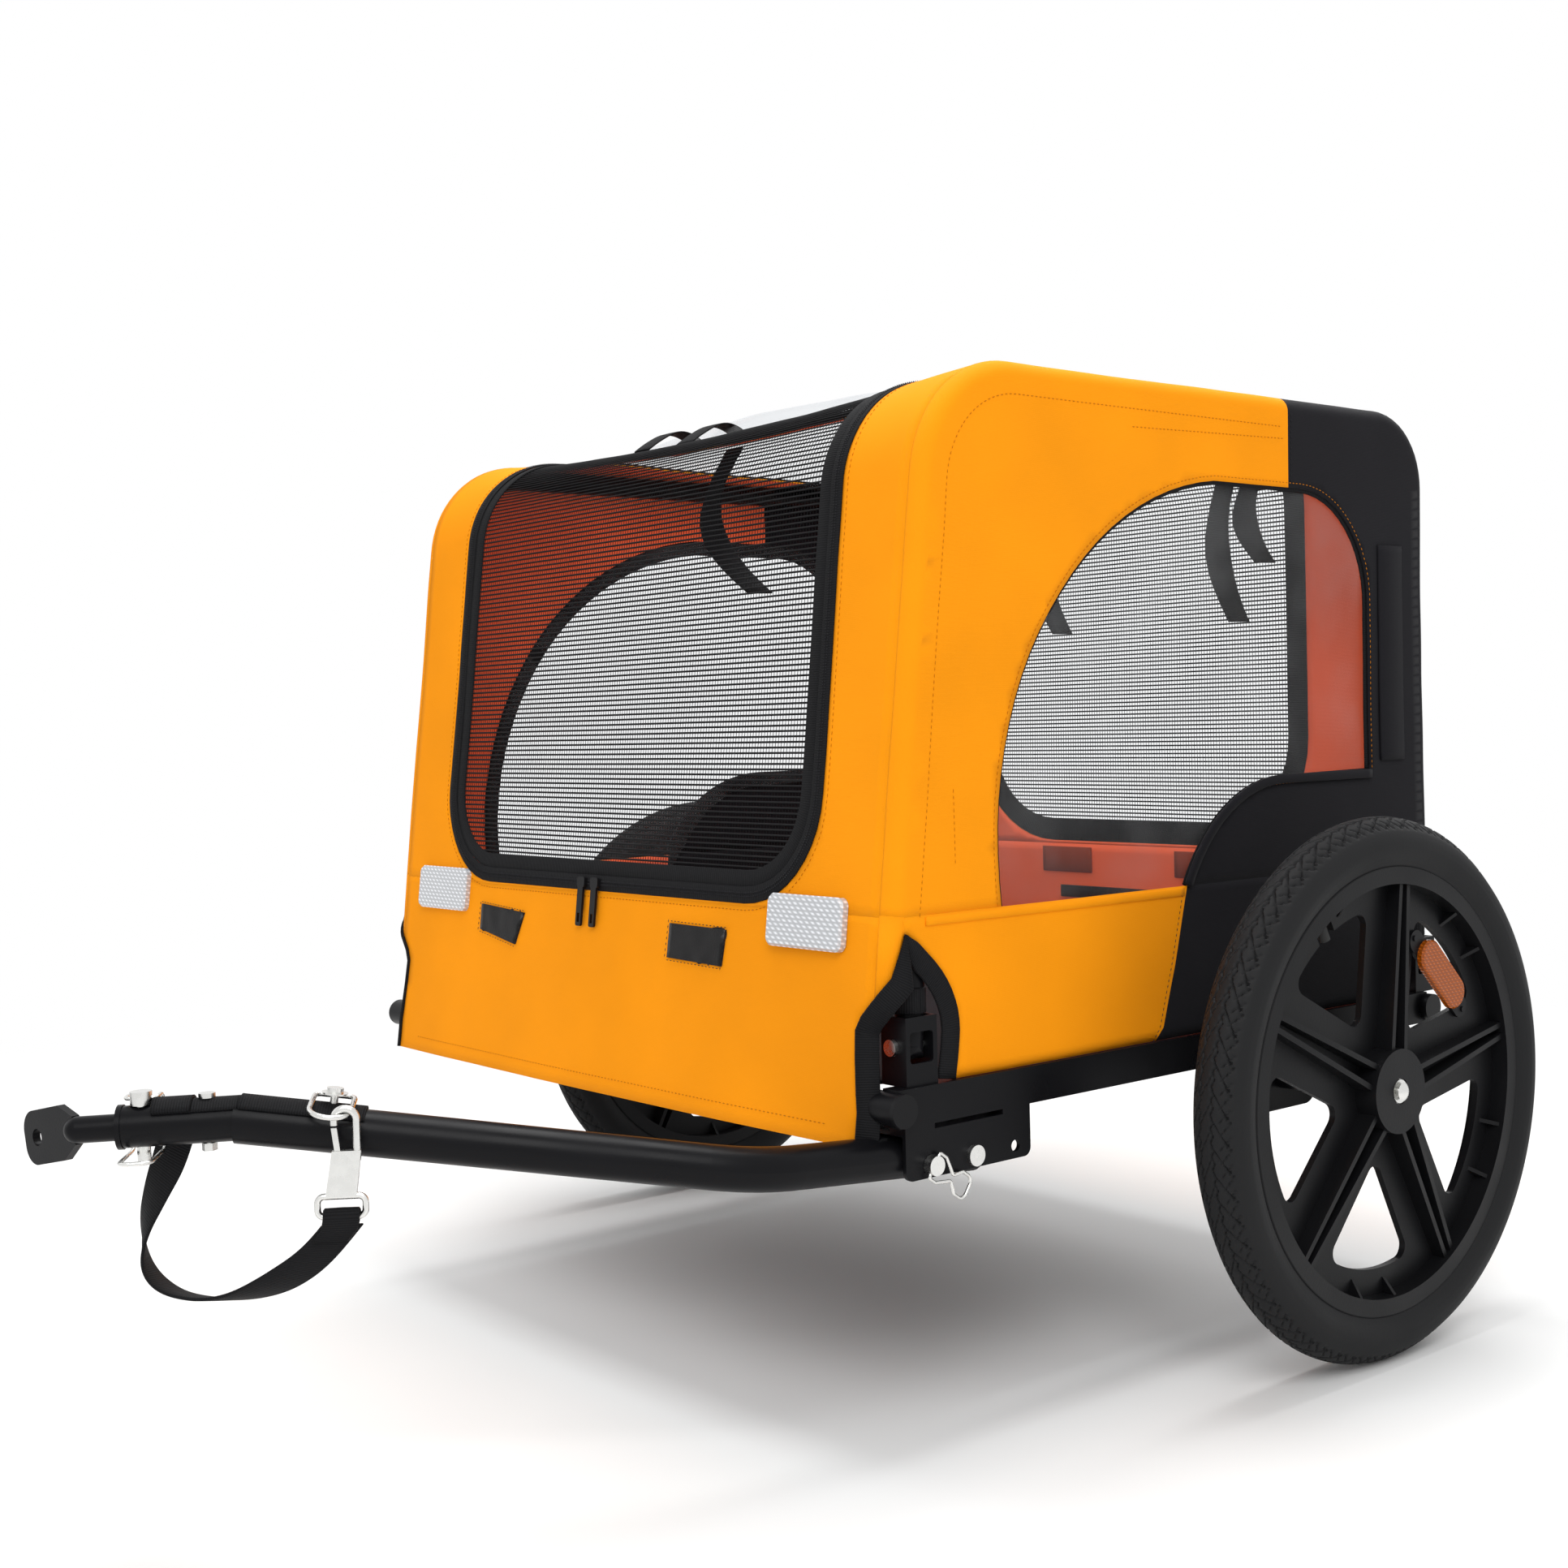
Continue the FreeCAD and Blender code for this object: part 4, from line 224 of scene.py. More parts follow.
# Floor mat, in metres
MAT_CORNER = 0.014
MAT_STEP = 0.014
MAT_DROP = 0.0004
MAT_SLACK = 0.001

# Tapes as (width, thickness) and threads as (pitch, length, radius), in metres
TAPE_SECTION_SHARES = (
    (-0.5, 0), (-0.46, 0.5), (0, 0.6), (0.46, 0.5),
    (0.5, 0), (0.46, -0.5), (0, -0.45), (-0.46, -0.5),
)
ZIP_TAPE = (0.012, 0.0012)
DOOR_BINDING = (0.012, 0.0016)
DOOR_TOP_TAPE = (0.011, 0.0014)
WINDOW_BINDING = (0.014, 0.0014)
ARCH_BEAD = (0.007, 0.0026)
ROOF_TAPE = (0.006, 0.0012)
REAR_BINDING = (0.022, 0.0030)
REAR_TOP_TAPE = (0.011, 0.0026)
REAR_TAB_SHADOW = (0.025, 0.0012)
REAR_STRIP = (0.012, 0.0016)
CUT_BINDING = (0.016, 0.0026)
REAR_CUT_BINDING = (0.010, 0.0026)
SILL_TAPE = (0.006, 0.0012)
POST_STRIP = (0.034, 0.0016)
POST_BAND = (0.017, 0.0020)
TIE = (0.022, 0.0014)
STRAP = (0.025, 0.002)
STITCH = (0.0042, 0.0030, 0.0004)
ZIP_COIL = (0.0020, 0.0016, 0.0011)

# Sewing and trim on the cloth, in metres
STITCH_LIFT = 0.0002
HEM_STITCH_S = 0.012
HEM_STITCH_HALF = 0.27
DOOR_STITCH_OUT = 0.006
SIDE_STITCH_IN = 0.012
SEAM_BESIDE = 0.004
CROWN_GAP = 0.003
SILL_TAPE_FRONT = 0.07
SILL_TAPE_LIFT = 0.0004
POST_STRIP_Y = 0.156
POST_STRIP_ZS = (0.437, 0.611)
POST_STRIP_LIFT = 0.0010
SHORT_SEAMS = (
    ((-0.158, 0.684), (0.017, 0.688)),
    ((-0.344, 0.384), (-0.344, 0.435)),
)
TAB_HALF = 0.033
TAB_TALL = 0.013
TAB_SKEWS = (0.010, 0.002)
TAB_SKEW_SHARES = (0.5, 0.4)
TAB = 0.0016
TAB_STEP = 0.004
TAB_LIFT = 0.0014
TAB_RIPPLE = 0.0006
TAB_RIPPLE_SIZE = 0.012
TAB_STITCH_OUT = 0.0018
TAB_STITCH_LIFT = 0.0020

# Ties: name, place across, inset from the end, drop from the top, length, sway and curl, in metres
TIES = (
    ("front_far_tie", -0.015, 0.004, 0.018, 0.119, 0.036, -0.012),
    ("front_near_tie", 0.179, 0.004, 0.008, 0.134, -0.012, -0.010),
    ("rear_far_tie", -0.072, 0.004, 0.020, 0.142, 0.016, -0.012),
    ("rear_near_tie", 0.143, 0.004, 0.020, 0.142, 0.012, -0.014),
    ("rear_near_tail", 0.172, 0.006, 0.030, 0.082, 0.012, -0.010),
)
TIE_STEPS = 24
TIE_SWAY_POWER = 2.2
TIE_BOW_SHARE = 0.75
TIE_CURL_SHARE = 0.8
TIE_TWIST = 70
TIE_TWIST_SHARES = (0.2, 1.0)
ROOF_LOOPS = (("far", -0.115), ("near", -0.055))
ROOF_LOOP_STEPS = 16
ROOF_LOOP_AHEAD = 0.012
ROOF_LOOP_RUN = 0.055
ROOF_LOOP_LIFT = 0.004
ROOF_LOOP_RISE = 0.013

# Webbing on the hoops and the drawbar, in metres and degrees
POST_BAND_Z = 0.2975
POST_BAND_R = 0.0104
POST_BAND_STEPS = 32
POST_BAND_FRONT_IN = 0.0105
POST_BAND_REAR_IN = 0.0110
ELBOW = Vector((0.1336, AXLE_Y - 0.7627, 0.2517))
BAR_BEND = Vector((0.3075, AXLE_Y - 0.5056, 0.2057))
BAR_WAY = (BAR_BEND - ELBOW).normalized()
SLEEVE_WAY = Vector((-0.5591, -0.8289, -0.0209))
BAR_R = 0.0140
SLEEVE_R = 0.0125
WEBBING = 0.0019
WEBBING_LIFT = 0.0021
WEBBING_STEP = 0.004
WEBBING_COLUMNS = 15
# Bands: name, way and radius of the tube, start and end along it, first and last turn
WEBBING_BANDS = (
    ("sleeve_webbing", SLEEVE_WAY, SLEEVE_R, -0.004, 0.047, -52, 52),
    ("bar_webbing", BAR_WAY, BAR_R, 0.002, 0.076, -52, 52),
    ("sleeve_wrap", SLEEVE_WAY, SLEEVE_R + WEBBING, 0.024, 0.047, -52, 100),
)

# Safety strap, in metres behind the axle and degrees
STRAP_ROUTE = [
    (0.0978, -0.7820, 0.2510),
    (0.0940, -0.7860, 0.2310),
    (0.0860, -0.7935, 0.2085),
    (0.0795, -0.8005, 0.1840),
    (0.0810, -0.8010, 0.1610),
    (0.0930, -0.7930, 0.1465),
    (0.1120, -0.7790, 0.1420),
    (0.1320, -0.7640, 0.1445),
    (0.1510, -0.7500, 0.1530),
    (0.1680, -0.7380, 0.1660),
    (0.1810, -0.7285, 0.1805),
    (0.1882, -0.7230, 0.1911),
]
STRAP_START_TURN = 88
# Twists as degrees and the shares of the length where they start and end
STRAP_TWISTS = ((-74, 0.0, 0.45), (52, 0.55, 1.0))
STRAP_ALIGN_SHARES = (0.6, 1.0)
STRAP_TURN_BACK = 0.012
STRAP_TURN_SHARES = (1.0, 0.2)
STRAP_TURN_STEPS = 8
EYE_WIRE = 0.0042
EYE_INSIDE = 0.0215

# Tyre and its tread, in metres
TYRE_R = AXLE_Z
TYRE_HALF = 0.0205
TREAD_HALF = 0.0135
TREAD_EDGE_R = TYRE_R - 0.0065
LIP_R = 0.1649
LIP_HALF = 0.0155
SIDEWALL_R = (TREAD_EDGE_R + LIP_R) / 2 + 0.0032
BEAD_R = 0.1553
BEAD_HALF = 0.0120
TYRE_WALL = 0.0034
CROWN_WALL = 0.0042
BLOCKS = 66
STEPS_PER_BLOCK = 16
CROWN_STEPS = 20
SHOULDER_STEPS = 18
GROOVE_EDGE = 0.0004
GROOVE_DEPTH = 0.0015
LANE_AT = 0.0048
LANE_SWING = 0.0011
LANE_WIDTH = 0.0013
LANE_TO = 0.009
SLANT_STAGGER_SHARE = 0.25
SLANT_RUN = 0.0115
SLANT_SHARE = 0.72
SLANT_WIDTH = 0.0015
SLANT_FROM = 0.0045
SLANT_TO = 0.0178
CROSS_RUN = 0.0085
CROSS_START_SHARE = 0.3
CROSS_SHARE = 0.325
CROSS_DEPTH = 0.0011
CROSS_WIDTH = 0.0011
CROSS_FROM = 0.0095
MIDDLE_RUN = 0.010
MIDDLE_SHARE = 0.8
MIDDLE_DEPTH = 0.0012
MIDDLE_WIDTH = 0.0010
MIDDLE_TO = 0.0050
TREAD_TO = 0.0185
SHOULDER_FROM = 0.0135
SHOULDER_LEAN_SHARE = 0.4
WALL_LINES = (0.0215, 0.0335, 0.0365)
WALL_LINE_WIDTH = 0.0014
WALL_LINE_LIFT = 0.0003
TREAD_SHARP = 38
# Length given to points inside the tyre, which carry no tread
INSIDE = 1.0

# Stage, and lamps as (name, place, size, power), in metres and watts
FLOOR_COLOR = (0.96, 0.96, 0.955)
FLOOR_REACH = 14.0
FLOOR_LOW = 0.0003
FLOOR_FADE = (0.7, 2.0)
WORLD_LEVEL = 0.63
LAMP_AIM = Vector((0, 0, 0.35))
LAMPS = (
    ("key", (2.2, -1.7, 2.6), 1.8, 50.0),
    ("front_fill", (-1.9, -1.6, 1.7), 1.6, 3.0),
    ("rear_rim", (-0.6, 2.4, 2.4), 1.8, 26.0),
    ("roof_soft", (0.0, 0.25, 2.3), 1.2, 28.0),
)


# Camera

def make_camera():
    camera = bpy.data.objects.new("camera", bpy.data.cameras.new("camera"))
    back = CAMERA_RIGHT.cross(CAMERA_UP)
    turn = Matrix((CAMERA_RIGHT, CAMERA_UP, back)).transposed().to_4x4()
    camera.matrix_world = Matrix.Translation(CAMERA_AT) @ turn
    camera.data.lens = LENS_MM
    camera.data.sensor_width = SENSOR_MM
    bpy.context.scene.collection.objects.link(camera)
    bpy.context.scene.camera = camera


# Materials

class Finish:
    """A material with one Principled shader and short ways to add nodes to it."""

    def __init__(self, name, color, roughness, **sockets):
        self.material = bpy.data.materials.new(name)
        self.material.use_nodes = True
        self.tree = self.material.node_tree
        self.shader = self.tree.nodes["Principled BSDF"]
        values = {"Base Color": (*color, 1), "Roughness": roughness}
        values.update({key.replace("_", " "): value for key, value in sockets.items()})
        for key, value in values.items():
            self.shader.inputs[key].default_value = value

    def add(self, kind, inputs=None, **settings):
        node = self.tree.nodes.new(kind)
        for key, value in settings.items():
            setattr(node, key, value)
        for key, value in (inputs or {}).items():
            if isinstance(value, bpy.types.NodeSocket):
                self.tree.links.new(value, node.inputs[key])
            else:
                node.inputs[key].default_value = value
        return node

    def link(self, output, key):
        self.tree.links.new(output, self.shader.inputs[key])

    def place(self):
        return self.add("ShaderNodeTexCoord").outputs["Object"]

    def flat(self):
        return self.add("ShaderNodeUVMap", uv_map="flat").outputs["UV"]

    def noise(self, scale, detail=2.0):
        values = {"Vector": self.place(), "Scale": scale, "Detail": detail}
        return self.add("ShaderNodeTexNoise", values).outputs["Fac"]

    def wave(self, vector, pitch, direction, distortion=0.0):
        # One band per pitch
        values = {"Vector": vector, "Scale": math.pi / (10 * pitch), "Distortion": distortion}
        return self.add("ShaderNodeTexWave", values, bands_direction=direction).outputs["Fac"]

    def math(self, operation, first, second):
        return self.add("ShaderNodeMath", {0: first, 1: second}, operation=operation).outputs[0]

    def ramp(self, factor, low, high, start=0.0, end=1.0):
        values = {"Value": factor, "From Min": start, "From Max": end, "To Min": low, "To Max": high}
        return self.add("ShaderNodeMapRange", values).outputs["Result"]

    def tint(self, factor, first, second):
        node = self.add("ShaderNodeMix", {"Factor": factor}, data_type="RGBA")
        node.inputs["A"].default_value = (*first, 1)
        node.inputs["B"].default_value = (*second, 1)
        self.link(node.outputs["Result"], "Base Color")

    def bump(self, height, strength, distance):
        values = {"Height": height, "Strength": strength, "Distance": distance}
        self.link(self.add("ShaderNodeBump", values).outputs["Normal"], "Normal")

    def surface(self, amount, first, second):
        # Shows a mix of two shaders
        mixed = self.add("ShaderNodeMixShader", {"Fac": amount, 1: first.outputs[0], 2: second.outputs[0]})
        self.tree.links.new(mixed.outputs[0], self.tree.nodes["Material Output"].inputs["Surface"])


def shade(color, factor):
    return tuple(channel * factor for channel in color)


NOISE_RANGE = (0.3, 0.7)
CREASE_RANGE = (0.45, 0.75)


def woven(name, color, roughness, pitch=0.0009, depth=0.00012, vary=0.10, **sockets):
    # Plain weave over a slow change of colour
    finish = Finish(name, color, roughness, **sockets)
    warp = finish.wave(finish.flat(), pitch, "X")
    weft = finish.wave(finish.flat(), pitch, "Y")
    threads = finish.math("MULTIPLY", warp, weft)
    patches = finish.ramp(finish.noise(scale=9.0), 0.0, 0.7, *NOISE_RANGE)
    mixed = finish.math("ADD", patches, finish.ramp(threads, 0.0, 0.3))
    finish.tint(mixed, shade(color, 1 - vary), shade(color, 1 + vary * 0.4))
    finish.bump(threads, strength=0.6, distance=depth)
    return finish.material


def ribbed(name, color, roughness, pitch=0.0016, depth=0.0003, **sockets):
    # Webbing: ribs across the tape over fine threads along it
    finish = Finish(name, color, roughness, **sockets)
    ribs = finish.wave(finish.flat(), pitch, "X", distortion=0.6)
    threads = finish.wave(finish.flat(), pitch * 0.4, "Y")
    both = finish.math("ADD", ribs, finish.ramp(threads, 0.0, 0.4))
    finish.tint(finish.ramp(both, 0.0, 1.0, end=1.4), shade(color, 0.55), shade(color, 1.5))
    finish.bump(both, strength=0.7, distance=depth)
    return finish.material


def grained(name, color, roughness, scale, depth, spread=0.08, **sockets):
    # Moulded or coated surface: fine grain and patchy gloss
    finish = Finish(name, color, roughness, **sockets)
    grain = finish.noise(scale, detail=3.0)
    patches = finish.noise(scale / 40)
    finish.link(finish.ramp(patches, roughness - spread, roughness + spread, *NOISE_RANGE), "Roughness")
    finish.tint(patches, shade(color, 0.85), shade(color, 1.2))
    finish.bump(grain, strength=0.35, distance=depth)
    return finish.material


def plated(name, color, roughness, **sockets):
    # Bright zinc with a faint brushed and clouded look
    finish = Finish(name, color, roughness, Metallic=1.0, **sockets)
    clouds = finish.noise(scale=160.0, detail=4.0)
    finish.link(finish.ramp(clouds, roughness - 0.08, roughness + 0.14, *NOISE_RANGE), "Roughness")
    finish.tint(clouds, shade(color, 0.86), shade(color, 1.04))
    finish.bump(clouds, strength=0.12, distance=0.0002)
    return finish.material


def prismatic(name, color, roughness, pitch, **sockets):
    # Reflector lens: rows of small prisms under a clear face
    finish = Finish(name, color, roughness, **sockets)
    rows = [finish.wave(finish.place(), pitch, direction) for direction in ("DIAGONAL", "Z")]
    cells = finish.math("MULTIPLY", *rows)
    finish.tint(cells, shade(color, 0.55), shade(color, 1.15))
    finish.bump(cells, strength=0.8, distance=0.0006)
    return finish.material


def clear_film(name, color, roughness, haze, edge_haze, crease_haze, **sockets):
    # Clear flexible film: mostly see-through, with gloss and a faint haze
    finish = Finish(name, color, roughness, **sockets)
    creases = finish.noise(scale=14.0, detail=3.0)
    clear = finish.add("ShaderNodeBsdfTransparent", {"Color": (0.97, 0.975, 0.98, 1)})
    facing_away = finish.add("ShaderNodeLayerWeight", {"Blend": 0.22}).outputs["Facing"]
    creased = finish.ramp(creases, 0.0, crease_haze, *CREASE_RANGE)
    amount = finish.math("ADD", finish.ramp(facing_away, haze, edge_haze), creased)
    finish.surface(amount, clear, finish.shader)
    finish.bump(creases, strength=0.25, distance=0.004)
    return finish.material


ORANGE = (0.95, 0.315, 0.003)
LINING = (0.98, 0.150, 0.055)
BLACK = (0.0078, 0.0074, 0.0098)
CLOTH_GLOSS = 0.10
PAINT_GLOSS = 0.11
MATT_GLOSS = 0.14
SOFT_GLOSS = 0.15
FULL_GLOSS = 0.5

# How each finish is made, its colour, roughness and gloss, and what else it takes
FINISHES = {
    "orange_cloth": (woven, ORANGE, 0.80, CLOTH_GLOSS, {}),
    # The lining glows faintly in its own colour: painted light, standing in for light that comes through the
    # orange cloth
    "orange_lining": (woven, LINING, 0.65, CLOTH_GLOSS,
                      dict(Emission_Color=(*LINING, 1), Emission_Strength=0.10)),
    # Darker copy of the lining: painted shade behind the tabs on the outside of the rear wall
    "lining_patch": (woven, shade(LINING, 0.35), 0.75, CLOTH_GLOSS, {}),
    "black_cloth": (woven, BLACK, 0.75, CLOTH_GLOSS, dict(vary=0.2, Sheen_Weight=0.03)),
    "black_net": (grained, (0.010, 0.010, 0.011), 0.7, MATT_GLOSS, dict(scale=900.0, depth=0.0001)),
    "black_webbing": (ribbed, (0.0085, 0.0085, 0.0095), 0.70, CLOTH_GLOSS, {}),
    "orange_thread": (grained, shade(ORANGE, 0.55), 0.7, CLOTH_GLOSS, dict(scale=1500.0, depth=0.0001)),
    "black_thread": (grained, (0.020, 0.019, 0.022), 0.6, MATT_GLOSS, dict(scale=1500.0, depth=0.0001)),
    "zip_coil": (grained, (0.012, 0.012, 0.014), 0.40, SOFT_GLOSS, dict(scale=800.0, depth=0.0001)),
    "black_pile": (grained, (0.011, 0.0105, 0.011), 0.9, CLOTH_GLOSS,
                   dict(scale=1300.0, depth=0.0012, spread=0.05, Sheen_Weight=0.12)),
    "clear_film": (clear_film, (0.70, 0.71, 0.72), 0.08, FULL_GLOSS,
                   dict(haze=0.012, edge_haze=0.07, crease_haze=0.03)),
    "black_steel": (grained, (0.0045, 0.0045, 0.0055), 0.32, PAINT_GLOSS,
                    dict(scale=700.0, depth=0.00012, spread=0.07)),
    "zinc_steel": (plated, (0.74, 0.74, 0.72), 0.24, FULL_GLOSS, {}),
    "wheel_plastic": (grained, (0.0055, 0.0056, 0.0064), 0.44, SOFT_GLOSS,
                      dict(scale=520.0, depth=0.00018)),
    "black_plastic": (grained, (0.0060, 0.0060, 0.0068), 0.42, SOFT_GLOSS,
                      dict(scale=600.0, depth=0.00012)),
    "tyre_rubber": (grained, (0.0125, 0.0127, 0.0135), 0.66, MATT_GLOSS, dict(scale=420.0, depth=0.00025)),
    "amber_lens": (prismatic, (0.46, 0.095, 0.002), 0.12, SOFT_GLOSS, dict(pitch=0.0024, Coat_Weight=0.25)),
    "white_reflector": (prismatic, (0.80, 0.82, 0.86), 0.12, FULL_GLOSS,
                        dict(pitch=0.0030, Coat_Weight=0.6)),
    "reflector_rim": (grained, (0.070, 0.105, 0.140), 0.25, FULL_GLOSS, dict(scale=300.0, depth=0.0001)),
}
MATERIALS = {
    name: make(name, color, roughness, Specular_IOR_Level=gloss, **more)
    for name, (make, color, roughness, gloss, more) in FINISHES.items()
}


def finish_frame():
    # Every CAD piece that stays in view takes the finish of its slot
    for part in frame["record"]["subparts"]:
        node = frame["nodes"][part["node"]]
        material = MATERIALS.get(part["material_slot"])
        if material is None:
            continue
        if not node.material_slots:
            node.data.materials.append(material)
        for slot in node.material_slots:
            slot.material = material


# Mesh making

def piece(name, points, faces, materials, body="frame", flat=None, face_materials=None):
    # A mesh object that rides on a body, with its flat pattern as a map in metres
    mesh = bpy.data.meshes.new(name)
    mesh.from_pydata([tuple(point) for point in points], [], [tuple(face) for face in faces])
    for material in materials:
        mesh.materials.append(MATERIALS[material])
    if flat is not None:
        layer = mesh.uv_layers.new(name="flat")
        corners = np.zeros(len(mesh.loops), np.int32)
        mesh.loops.foreach_get("vertex_index", corners)
        layer.data.foreach_set("uv", np.array(flat, np.float32)[corners].ravel())
    if face_materials is not None:
        mesh.polygons.foreach_set("material_index", np.array(face_materials, np.int32))
    mesh.polygons.foreach_set("use_smooth", np.full(len(mesh.polygons), True))
    mesh.update()
    made = bpy.data.objects.new(name, mesh)
    bpy.context.scene.collection.objects.link(made)
    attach(made, body)
    return made


def thicken(made, thickness, lining=0):
    # The drawn face is the outer one, and the inner face takes the lining's material
    solid = made.modifiers.new("thickness", "SOLIDIFY")
    solid.thickness = thickness
    solid.offset = -1
    solid.material_offset = lining
    return made


def folds(made):
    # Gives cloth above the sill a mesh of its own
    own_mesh(made)
    return made


def inside(points, loop):
    # Which points lie in a closed loop, by counting crossings
    points = np.asarray(points, float)
    first = np.asarray(loop, float)
    second = np.roll(first, -1, axis=0)
    u, v = points[:, 0:1], points[:, 1:2]
    crosses = (first[:, 1] > v) != (second[:, 1] > v)
    rise = np.where(second[:, 1] == first[:, 1], TINY, second[:, 1] - first[:, 1])
    meets = first[:, 0] + (v - first[:, 1]) * (second[:, 0] - first[:, 0]) / rise
    return (np.sum(crosses & (u < meets), axis=1) % 2).astype(bool)


def within(points, loop, holes):
    keep = inside(points, loop)
    for hole in holes:
        keep &= ~inside(points, hole)
    return keep


def spaced(points, step, closed=False):
    # The same line with points added so that no run is longer than step
    ends = points[1:] + points[:1] if closed else points[1:]
    result = []
    for start, end in zip(points, ends):
        count = max(1, math.ceil(math.dist(start, end) / step))
        for index in range(count):
            share = index / count
            result.append(tuple(a + (b - a) * share for a, b in zip(start, end)))
    return result if closed else result + [tuple(points[-1])]


def fill(loop, holes=(), lines=(), step=CLOTH_STEP):
    # Triangles over a flat outline, with edges along its holes and lines
    fixed, edges = [], []
    for ring in (loop, *holes):
        ring = spaced(ring, step, True)
        start, count = len(fixed), len(ring)
        fixed += ring
        edges += [(start + index, start + (index + 1) % count) for index in range(count)]
    for line in lines:
        line = spaced(line, step)
        start = len(fixed)
        fixed += line
        edges += [(start + index, start + index + 1) for index in range(len(line) - 1)]
    tree = KDTree(len(fixed))
    for index, point in enumerate(fixed):
        tree.insert((*point, 0), index)
    tree.balance()
    low, high = np.min(loop, axis=0), np.max(loop, axis=0)
    across, along_it = np.meshgrid(np.arange(low[0], high[0], step), np.arange(low[1], high[1], step))
    grid = np.column_stack((across.ravel(), along_it.ravel()))
    inner = [tuple(point) for point in grid[within(grid, loop, holes)]]
    inner = [point for point in inner if tree.find((*point, 0))[2] > GRID_GAP_SHARE * step]
    spots = [Vector(point) for point in fixed + inner]
    points, _, faces, _, _, _ = delaunay_2d_cdt(spots, edges, [], 0, FINE)
    points = np.array(points)
    centres = np.array([points[face].mean(axis=0) for face in faces])
    keep = within(centres, loop, holes)
    return points, [face for face, kept in zip(faces, keep) if kept]


def facing(points, faces, outs):
    # Turns each face to look the cloth's way out
    result = []
    for face in faces:
        a, b, c = (points[index] for index in face[:3])
        if (b - a).cross(c - a).dot(outs[face[0]]) < 0:
            face = list(reversed(face))
        result.append(face)
    return result


def laid(filled, place):
    # The points and faces of a filled outline, put in place
    flat, faces = filled
    placed = [place(*point) for point in flat]
    points = [point for point, _ in placed]
    return points, facing(points, faces, [out for _, out in placed])


def cloth(name, filled, place, material, lining="orange_lining", thickness=CLOTH):
    points, faces = laid(filled, place)
    return thicken(piece(name, points, faces, [material, lining], flat=filled[0]), thickness, 1)


def arc(start, via, end, steps=12):
    # Points on the circle through three flat points, from start to end
    (ax, ay), (bx, by), (cx, cy) = start, via, end
    d = 2 * (ax * (by - cy) + bx * (cy - ay) + cx * (ay - by))
    squares = [x * x + y * y for x, y in (start, via, end)]
    ux = (squares[0] * (by - cy) + squares[1] * (cy - ay) + squares[2] * (ay - by)) / d
    uy = (squares[0] * (cx - bx) + squares[1] * (ax - cx) + squares[2] * (bx - ax)) / d
    radius = math.dist((ux, uy), start)
    angles = [math.atan2(y - uy, x - ux) for x, y in (start, via, end)]
    turn = (angles[2] - angles[0]) % math.tau
    if (angles[1] - angles[0]) % math.tau > turn:
        turn -= math.tau
    marks = [angles[0] + turn * index / steps for index in range(steps + 1)]
    return [(ux + radius * math.cos(mark), uy + radius * math.sin(mark)) for mark in marks]


def corner_arc(centre, radius, first, last, steps=10):
    marks = [math.radians(first + (last - first) * index / steps) for index in range(steps + 1)]
    return [(centre[0] + radius * math.cos(mark), centre[1] + radius * math.sin(mark)) for mark in marks]


def share_point(start, end, shares):
    return tuple(a + (b - a) * share for a, b, share in zip(start, end, shares))


def rectangle(half, low, high):
    return [(half, low), (half, high), (-half, high), (-half, low)]


def mirrored_line(line):
    return [(-x, s) for x, s in reversed(line)]


def offset_line(points, distance, closed=False):
    # The same flat line moved sideways, to the left of its direction when positive
    points = [Vector(point) for point in points]
    result = []
    for index, point in enumerate(points):
        before = points[index - 1] if closed or index else point
        after = points[(index + 1) % len(points)] if closed or index + 1 < len(points) else point
        way = (after - before).normalized()
        result.append((point.x - way.y * distance, point.y + way.x * distance))
    return result


def smooth_step(value, start, end):
    share = min(1.0, max(0.0, (value - start) / (end - start)))
    return share * share * (3 - 2 * share)


def loop_area(loop):
    ends = loop[1:] + loop[:1]
    return abs(sum(a[0] * b[1] - b[0] * a[1] for a, b in zip(loop, ends))) / 2


def loop_length(loop):
    return sum(math.dist(a, b) for a, b in zip(loop, loop[1:] + loop[:1]))


def declare(loop, holes):
    # Works out the flat size and area of a sheet, from the outline that it was cut to and its sewn-in edges,
    # with a narrow frame round an opening taken at the least share of its rectangle; neither is kept
    low, high = np.min(loop, axis=0), np.max(loop, axis=0)
    size = tuple(float(value) for value in high - low)
    area = loop_area(loop) - sum(loop_area(hole) for hole in holes)
    area += SEAM_ALLOWANCE * sum(loop_length(ring) for ring in (loop, *holes))
    area = max(area, LEAST_SHEET_SHARE * size[0] * size[1])


# The cover's wrap: front slope, front bend, roof, rear bend and rear wall as one length

FRONT_BEND_Y = FRONT_SEAM_Y - FRONT_SEAM_BEHIND_BEND
FRONT_BEND_Z = TOP_Z - FRONT_R
REAR_BEND_Y = REAR_Y - REAR_R
REAR_BEND_Z = TOP_Z - REAR_R
BEND_REACH = math.hypot(FRONT_BEND_Y - HEM_Y, FRONT_BEND_Z - HEM_Z)
SLOPE = math.atan2(FRONT_BEND_Z - HEM_Z, FRONT_BEND_Y - HEM_Y) + math.asin(FRONT_R / BEND_REACH)
FRONT_RUN = math.sqrt(BEND_REACH ** 2 - FRONT_R ** 2)
ROOF_S = FRONT_RUN + FRONT_R * SLOPE
REAR_BEND_S = ROOF_S + REAR_BEND_Y - FRONT_BEND_Y
WALL_S = REAR_BEND_S + REAR_R * math.pi / 2
HEM_END_S = WALL_S + REAR_BEND_Z - REAR_LOW
FRONT_SEAM_S = ROOF_S + FRONT_SEAM_BEHIND_BEND
REAR_SEAM_S = REAR_BEND_S + REAR_R * math.asin((REAR_SEAM_Y - REAR_BEND_Y) / REAR_R)
BLACK_S = ROOF_S + AXLE_Y + BLACK_TOP_Y - FRONT_BEND_Y


